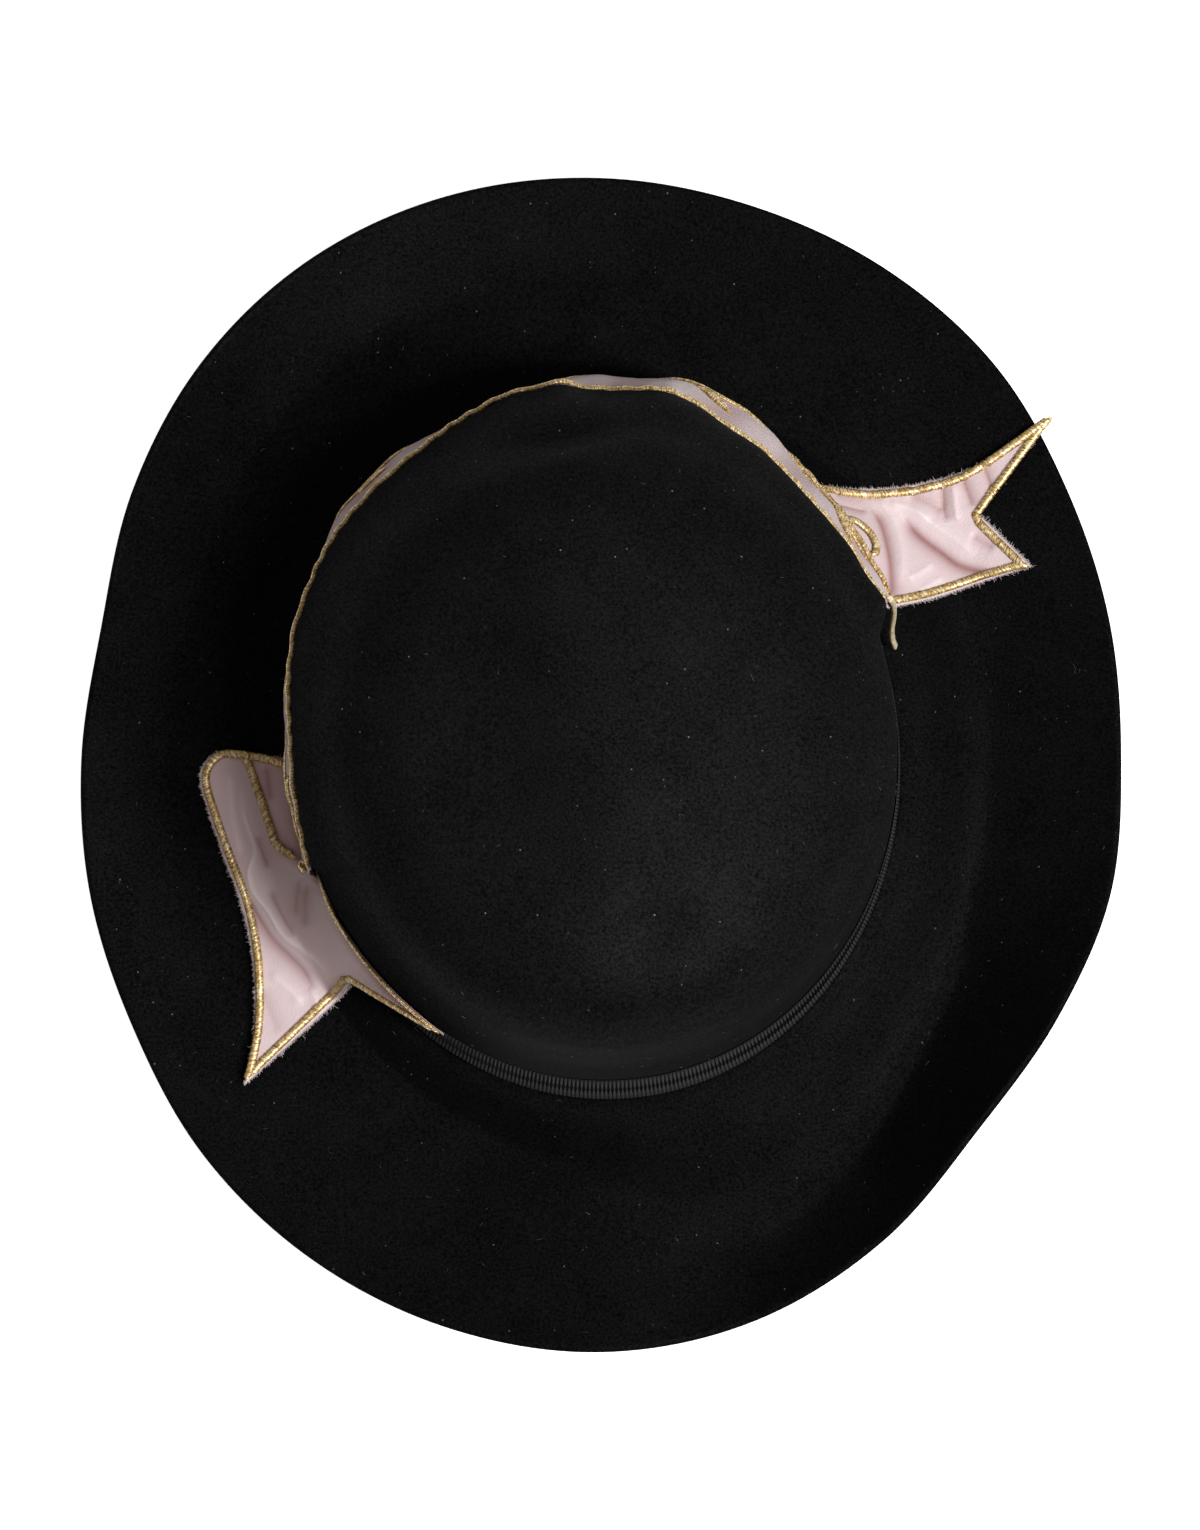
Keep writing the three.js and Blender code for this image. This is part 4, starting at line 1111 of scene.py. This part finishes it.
def fringe(surface, edge, start, end, density, length, inward, felt, random):
    """Frayed threads that stand out of a cut edge, so many to the millimetre; some lean in over the
    crown."""
    share = np.sort(random.uniform(start, end, FRINGE_DRAWS))
    ones = np.ones_like(share)
    depth = 1.0 if edge[1] == "1" else 0.0
    inner = depth + (-0.01 if depth else 0.01)

    def place(at):
        return (at * ones, share) if edge[0] == "u" else (share, at * ones)

    points, normals = path_on(surface, *place(depth), felt)
    count = min(len(share), int(steps_along(points).sum() * density))
    pick = np.sort(random.choice(len(share), count, replace=False))
    points, normals = points[pick], normals[pick]
    outward = unit(points - surface(*place(inner), felt)[pick])
    along = np.cross(outward, normals)
    reach = random.lognormal(math.log(length), FRAY["length_varies"], (count, 1))
    aside = along * random.normal(0, FRAY["aside"], (count, 1))
    upward = normals * random.normal(FRAY["up"], FRAY["up_varies"], (count, 1))
    steps = reach * (outward + aside + upward)
    steps = steps - on_circle(angle_of(points), 1.0, 0.0) * reach * inward
    bends = FRAY["bend"] * reach * random.normal(0, 1, (count, 1)) * along
    return points - outward * FRAY["root"], steps, bends


# Where the cut edges fray: surface, edge, from, to, threads to the millimetre, length and lean inward
FRAYED = {
    "fringe_band": ((banner_surface, "v1", 0.0, 1.0, 5, 0.4, 1.0),
                    (banner_surface, "v1", 0.59, 0.82, 18, 0.55, 1.6),
                    (banner_surface, "v0", 0.0, 1.0, 2, 0.4, 0.0),
                    (banner_surface, "v0", 0.725, 0.785, 34, 0.6, 0.0),
                    (banner_surface, "v0", 0.798, 0.828, 34, 0.55, 0.0)),
    "fringe_left_tail": ((left_tail_surface, "v0", 0.02, 1.0, 14, 0.5, 0.0),
                         (left_tail_surface, "u1", 0.0, 1.0, 20, 0.6, 0.0),
                         (left_tail_surface, "u0", 0.2, 0.9, 9, 0.45, 0.0)),
    "fringe_right_tail": ((right_tail_surface, "v0", 0.0, 1.0, 8, 0.45, 0.0),
                          (right_tail_surface, "u1", 0.0, 1.0, 16, 0.6, 0.0),
                          (right_tail_surface, "v1", 0.0, 1.0, 16, 0.55, 0.0)),
}


def build_fringe(settings, felt):
    random = np.random.default_rng(59)
    material = material_once("frayed satin thread", frayed_thread, settings)
    for name, edges in FRAYED.items():
        made = [fringe(*edge, felt, random) for edge in edges]
        roots, steps, bends = (np.concatenate([part[i] for part in made]) for i in range(3))
        points, faces = fibres(roots, steps, bends, settings.thread / MM)
        make_object(name, points, faces, material)


def number(name, description, default, **kind):
    return bpy.props.FloatProperty(name=name, description=description, default=default, **kind)


def length_mm(name, description, millimetres):
    return number(name, description, millimetres * MM, unit="LENGTH", precision=6)


def colour_of(name, description, hex_colour):
    return bpy.props.FloatVectorProperty(name=name, description=description, default=linear(hex_colour),
                                         size=4, subtype="COLOR")


class HatFelt(bpy.types.PropertyGroup):
    thickness: length_mm("Thickness", "Thickness of the felt", 2.2)
    columns: bpy.props.IntProperty(
        name="Columns", description="Faces round the hat", default=280, min=60)
    lint_count: bpy.props.IntProperty(
        name="Lint", description="How many bits of lint lie on the felt", default=420, min=0)
    lint_width: length_mm("Lint width", "Half the thickness of a bit of lint", 0.045)
    dark: colour_of("Dark", "The felt between its hairs", "040404")
    light: colour_of("Light", "The felt's hairs", "0E0E0E")
    nap: colour_of("Nap", "Sheen of the nap", "F2F2F4")
    lint: colour_of("Lint colour", "Lint on the felt", "8C8C90")


class HatRibbon(bpy.types.PropertyGroup):
    rib_pitch: length_mm("Rib spacing", "From one rib to the next", 1.15)
    rib_depth: length_mm("Rib depth", "Depth of the grooves between ribs", 0.45)
    # Painted light: colour is the black ribs with a painted sheen, groove the black between them with painted
    # shade
    colour: colour_of("Colour", "The ribs", "434347")
    groove: colour_of("Groove", "Between the ribs", "050506")


class HatSatin(bpy.types.PropertyGroup):
    thickness: length_mm("Thickness", "Two layers of satin over a thin backing", 0.6)
    thread: length_mm("Thread", "Half the thickness of a frayed thread", 0.06)
    # Painted light: the ridge colour is a painted highlight along raised folds, the folds' colour is painted
    # shade
    ridge: colour_of("Ridges", "The satin along a raised fold", "F6E8E8")
    colour: colour_of("Colour", "The satin where it is flat", "DDC8CA")
    painted_fold_shade: colour_of("Folds", "The satin down in its folds", "A67C79")
    frayed: colour_of("Frayed ends", "Frayed threads", "E9E2DE")


class HatGold(bpy.types.PropertyGroup):
    cord_width: length_mm("Cord width", "Width of the stitched borders", 2.5)
    pitch: length_mm("Thread spacing", "Drawn a little coarser than life, so that threads show", 0.42)
    # Painted light: light is the colour of painted glints, groove the colour of painted shade between threads
    colour: colour_of("Colour", "The threads", "CEA95F")
    light: colour_of("Light", "Threads that glint", "FFF0CC")
    groove: colour_of("Groove", "Between the threads", "5E4014")


class HatStudio(bpy.types.PropertyGroup):
    key_power: number("Key light", "Strength of the large soft light", 34.0, unit="POWER")
    key_width: number("Key width", "Width of the soft light", 0.27, unit="LENGTH")
    key_length: number("Key length", "Length of the soft light, upright", 1.05, unit="LENGTH")
    key_distance: number("Key distance", "From the hat to the soft light", 1.8, unit="LENGTH")
    azimuth: number("Azimuth", "Where the light comes from, from +X towards +Y", math.radians(-24),
                    subtype="ANGLE")
    elevation: number("Elevation", "How high the light stands", math.radians(58.5), subtype="ANGLE")
    fill: number("Fill", "Light from all round", 0.22, min=0)
    fill_colour: colour_of("Fill colour", "The light from all round is a little warm", "FFF6F3")
    glow: number("Floor glow", "How strongly the floor is lit from below", 0.98, min=0)
    floor: colour_of("Floor", "Colour of the floor", "F7F7F7")


def felt_of(context):
    """Thickness of the felt, in millimetres."""
    return context.scene.hat_felt.thickness / MM


def cloth_of(context):
    """Thickness of the satin, in millimetres."""
    return context.scene.hat_satin.thickness / MM


class HatOperator:
    """What the hat's operators share."""
    bl_options = {"REGISTER", "UNDO"}


class HAT_OT_felt(HatOperator, bpy.types.Operator):
    """Makes the crown and brim of felt, with its lint"""
    bl_idname = "hat.felt"
    bl_label = "Felt crown and brim"

    def execute(self, context):
        build_felt(context.scene.hat_felt)
        return {"FINISHED"}


class HAT_OT_grosgrain(HatOperator, bpy.types.Operator):
    """Makes the ribbed ribbon round the foot of the crown"""
    bl_idname = "hat.grosgrain"
    bl_label = "Grosgrain ribbon"

    def execute(self, context):
        build_grosgrain(context.scene.hat_ribbon, felt_of(context))
        return {"FINISHED"}


class HAT_OT_banner(HatOperator, bpy.types.Operator):
    """Makes the satin banner round the crown"""
    bl_idname = "hat.banner"
    bl_label = "Satin band"

    def execute(self, context):
        build_banner(context.scene.hat_satin, felt_of(context))
        return {"FINISHED"}


class HAT_OT_tails(HatOperator, bpy.types.Operator):
    """Makes the banner's two swallow-tailed ends"""
    bl_idname = "hat.tails"
    bl_label = "Satin tails"

    def execute(self, context):
        settings = context.scene.hat_satin
        left = build_tail("satin_tail_left", left_tail_surface, LEFT_CREASES, LEFT_SHEET, settings,
                          felt_of(context), left_tail_painted_shade)
        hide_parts("banner_tail_left")
        right = build_tail("satin_tail_right", right_tail_surface, RIGHT_CREASES, RIGHT_SHEET, settings,
                           felt_of(context))
        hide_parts("banner_tail_right")
        return {"FINISHED"}


class HAT_OT_borders(HatOperator, bpy.types.Operator):
    """Makes the gold borders, the fold line and the curl"""
    bl_idname = "hat.borders"
    bl_label = "Gold borders"

    def execute(self, context):
        build_borders(context.scene.hat_gold, felt_of(context), cloth_of(context))
        return {"FINISHED"}


class HAT_OT_loose_cord(HatOperator, bpy.types.Operator):
    """Makes the loose end of cord and the knot"""
    bl_idname = "hat.loose_cord"
    bl_label = "Loose cord and knot"

    def execute(self, context):
        build_loose_cord(context.scene.hat_gold, felt_of(context))
        return {"FINISHED"}


class HAT_OT_embroidery(HatOperator, bpy.types.Operator):
    """Makes the waving stem and its leaves on the banner"""
    bl_idname = "hat.embroidery"
    bl_label = "Embroidery"

    def execute(self, context):
        build_embroidery(context.scene.hat_gold, felt_of(context), cloth_of(context))
        return {"FINISHED"}


class HAT_OT_fringe(HatOperator, bpy.types.Operator):
    """Makes the frayed threads along the cut edges"""
    bl_idname = "hat.fringe"
    bl_label = "Frayed edges"

    def execute(self, context):
        build_fringe(context.scene.hat_satin, felt_of(context))
        return {"FINISHED"}


class HAT_OT_studio(HatOperator, bpy.types.Operator):
    """Makes the floor, the soft light and the camera"""
    bl_idname = "hat.studio"
    bl_label = "Studio"

    def execute(self, context):
        build_studio(context.scene, context.scene.hat_studio)
        return {"FINISHED"}


def looking(direction):
    return (-direction).to_track_quat("-Z", "Y").to_euler()


def build_studio(scene, settings):
    half, top = TABLE["half"], TABLE["top"]
    corners = [(-half, -half, top), (half, -half, top), (half, half, top), (-half, half, top)]
    mesh = bpy.data.meshes.new("floor")
    mesh.from_pydata(corners, [], [(0, 1, 2, 3)])
    floor = bpy.data.objects.new("floor", mesh)
    scene.collection.objects.link(floor)
    material, tree, place = new_material("matt white paper")
    # Paper sweep: the faintest unevenness, about 330 mm across
    uneven = add_node(tree, "ShaderNodeTexNoise", {"Vector": place, "Scale": 3.0, "Detail": 2.0})
    rough = ranged(tree, uneven.outputs["Fac"], 0.0, 1.0, 0.8, 0.95)
    shader = add_node(tree, "ShaderNodeBsdfPrincipled",
                      {"Base Color": settings.floor, "Roughness": rough, "Specular IOR Level": 0.2,
                       "Emission Color": settings.floor, "Emission Strength": settings.glow})
    finish_material(material, tree, shader, settings.floor)
    mesh.materials.append(material)
    floor.visible_diffuse = False  # its glow leaves the felt's walls dark

    lamp = bpy.data.lights.new("soft key", "AREA")
    lamp.energy = settings.key_power
    lamp.shape = "RECTANGLE"
    lamp.size = settings.key_width
    lamp.size_y = settings.key_length
    key = bpy.data.objects.new("soft key", lamp)
    level = math.cos(settings.elevation)
    direction = Vector((level * math.cos(settings.azimuth), level * math.sin(settings.azimuth),
                        math.sin(settings.elevation)))
    key.location = direction * settings.key_distance
    key.rotation_euler = looking(direction)
    scene.collection.objects.link(key)

    world = bpy.data.worlds.new("soft fill")
    world.use_nodes = True
    background = world.node_tree.nodes["Background"]
    background.inputs["Color"].default_value = settings.fill_colour
    background.inputs["Strength"].default_value = settings.fill
    scene.world = world
    scene.view_settings.view_transform = "Standard"

    tilt = math.radians(VIEW["elevation"])
    back = Vector((0, -math.cos(tilt), math.sin(tilt)))
    lens = bpy.data.cameras.new("camera")
    lens.lens = VIEW["lens"]
    lens.sensor_width = 36
    camera = bpy.data.objects.new("camera", lens)
    camera.location = Vector(VIEW["target"]) + back * VIEW["distance"]
    camera.rotation_euler = looking(back)
    scene.collection.objects.link(camera)
    scene.camera = camera


OPERATORS = (HAT_OT_felt, HAT_OT_grosgrain, HAT_OT_banner, HAT_OT_tails, HAT_OT_borders, HAT_OT_loose_cord,
             HAT_OT_embroidery, HAT_OT_fringe, HAT_OT_studio)
GROUPS = {"hat_felt": HatFelt, "hat_ribbon": HatRibbon, "hat_satin": HatSatin, "hat_gold": HatGold,
          "hat_studio": HatStudio}


class HAT_PT_panel(bpy.types.Panel):
    """Lists the hat's settings and operators"""
    bl_idname = "HAT_PT_panel"
    bl_label = "Hat"
    bl_space_type = "VIEW_3D"
    bl_region_type = "UI"
    bl_category = "Hat"

    def draw(self, context):
        for name, group in GROUPS.items():
            box = self.layout.box()
            for field in group.__annotations__:
                box.prop(getattr(context.scene, name), field)
        for operator in OPERATORS:
            self.layout.operator(operator.bl_idname)


def register():
    for cls in (*GROUPS.values(), *OPERATORS, HAT_PT_panel):
        bpy.utils.register_class(cls)
    for name, group in GROUPS.items():
        setattr(bpy.types.Scene, name, bpy.props.PointerProperty(type=group))


def unregister():
    for name in GROUPS:
        delattr(bpy.types.Scene, name)
    for cls in reversed((*GROUPS.values(), *OPERATORS, HAT_PT_panel)):
        bpy.utils.unregister_class(cls)


def main():
    register()
    bpy.ops.hat.studio()
    for operator in OPERATORS[:-1]:
        getattr(bpy.ops.hat, operator.bl_idname.split(".")[1])()


if __name__ == "__main__":
    main()
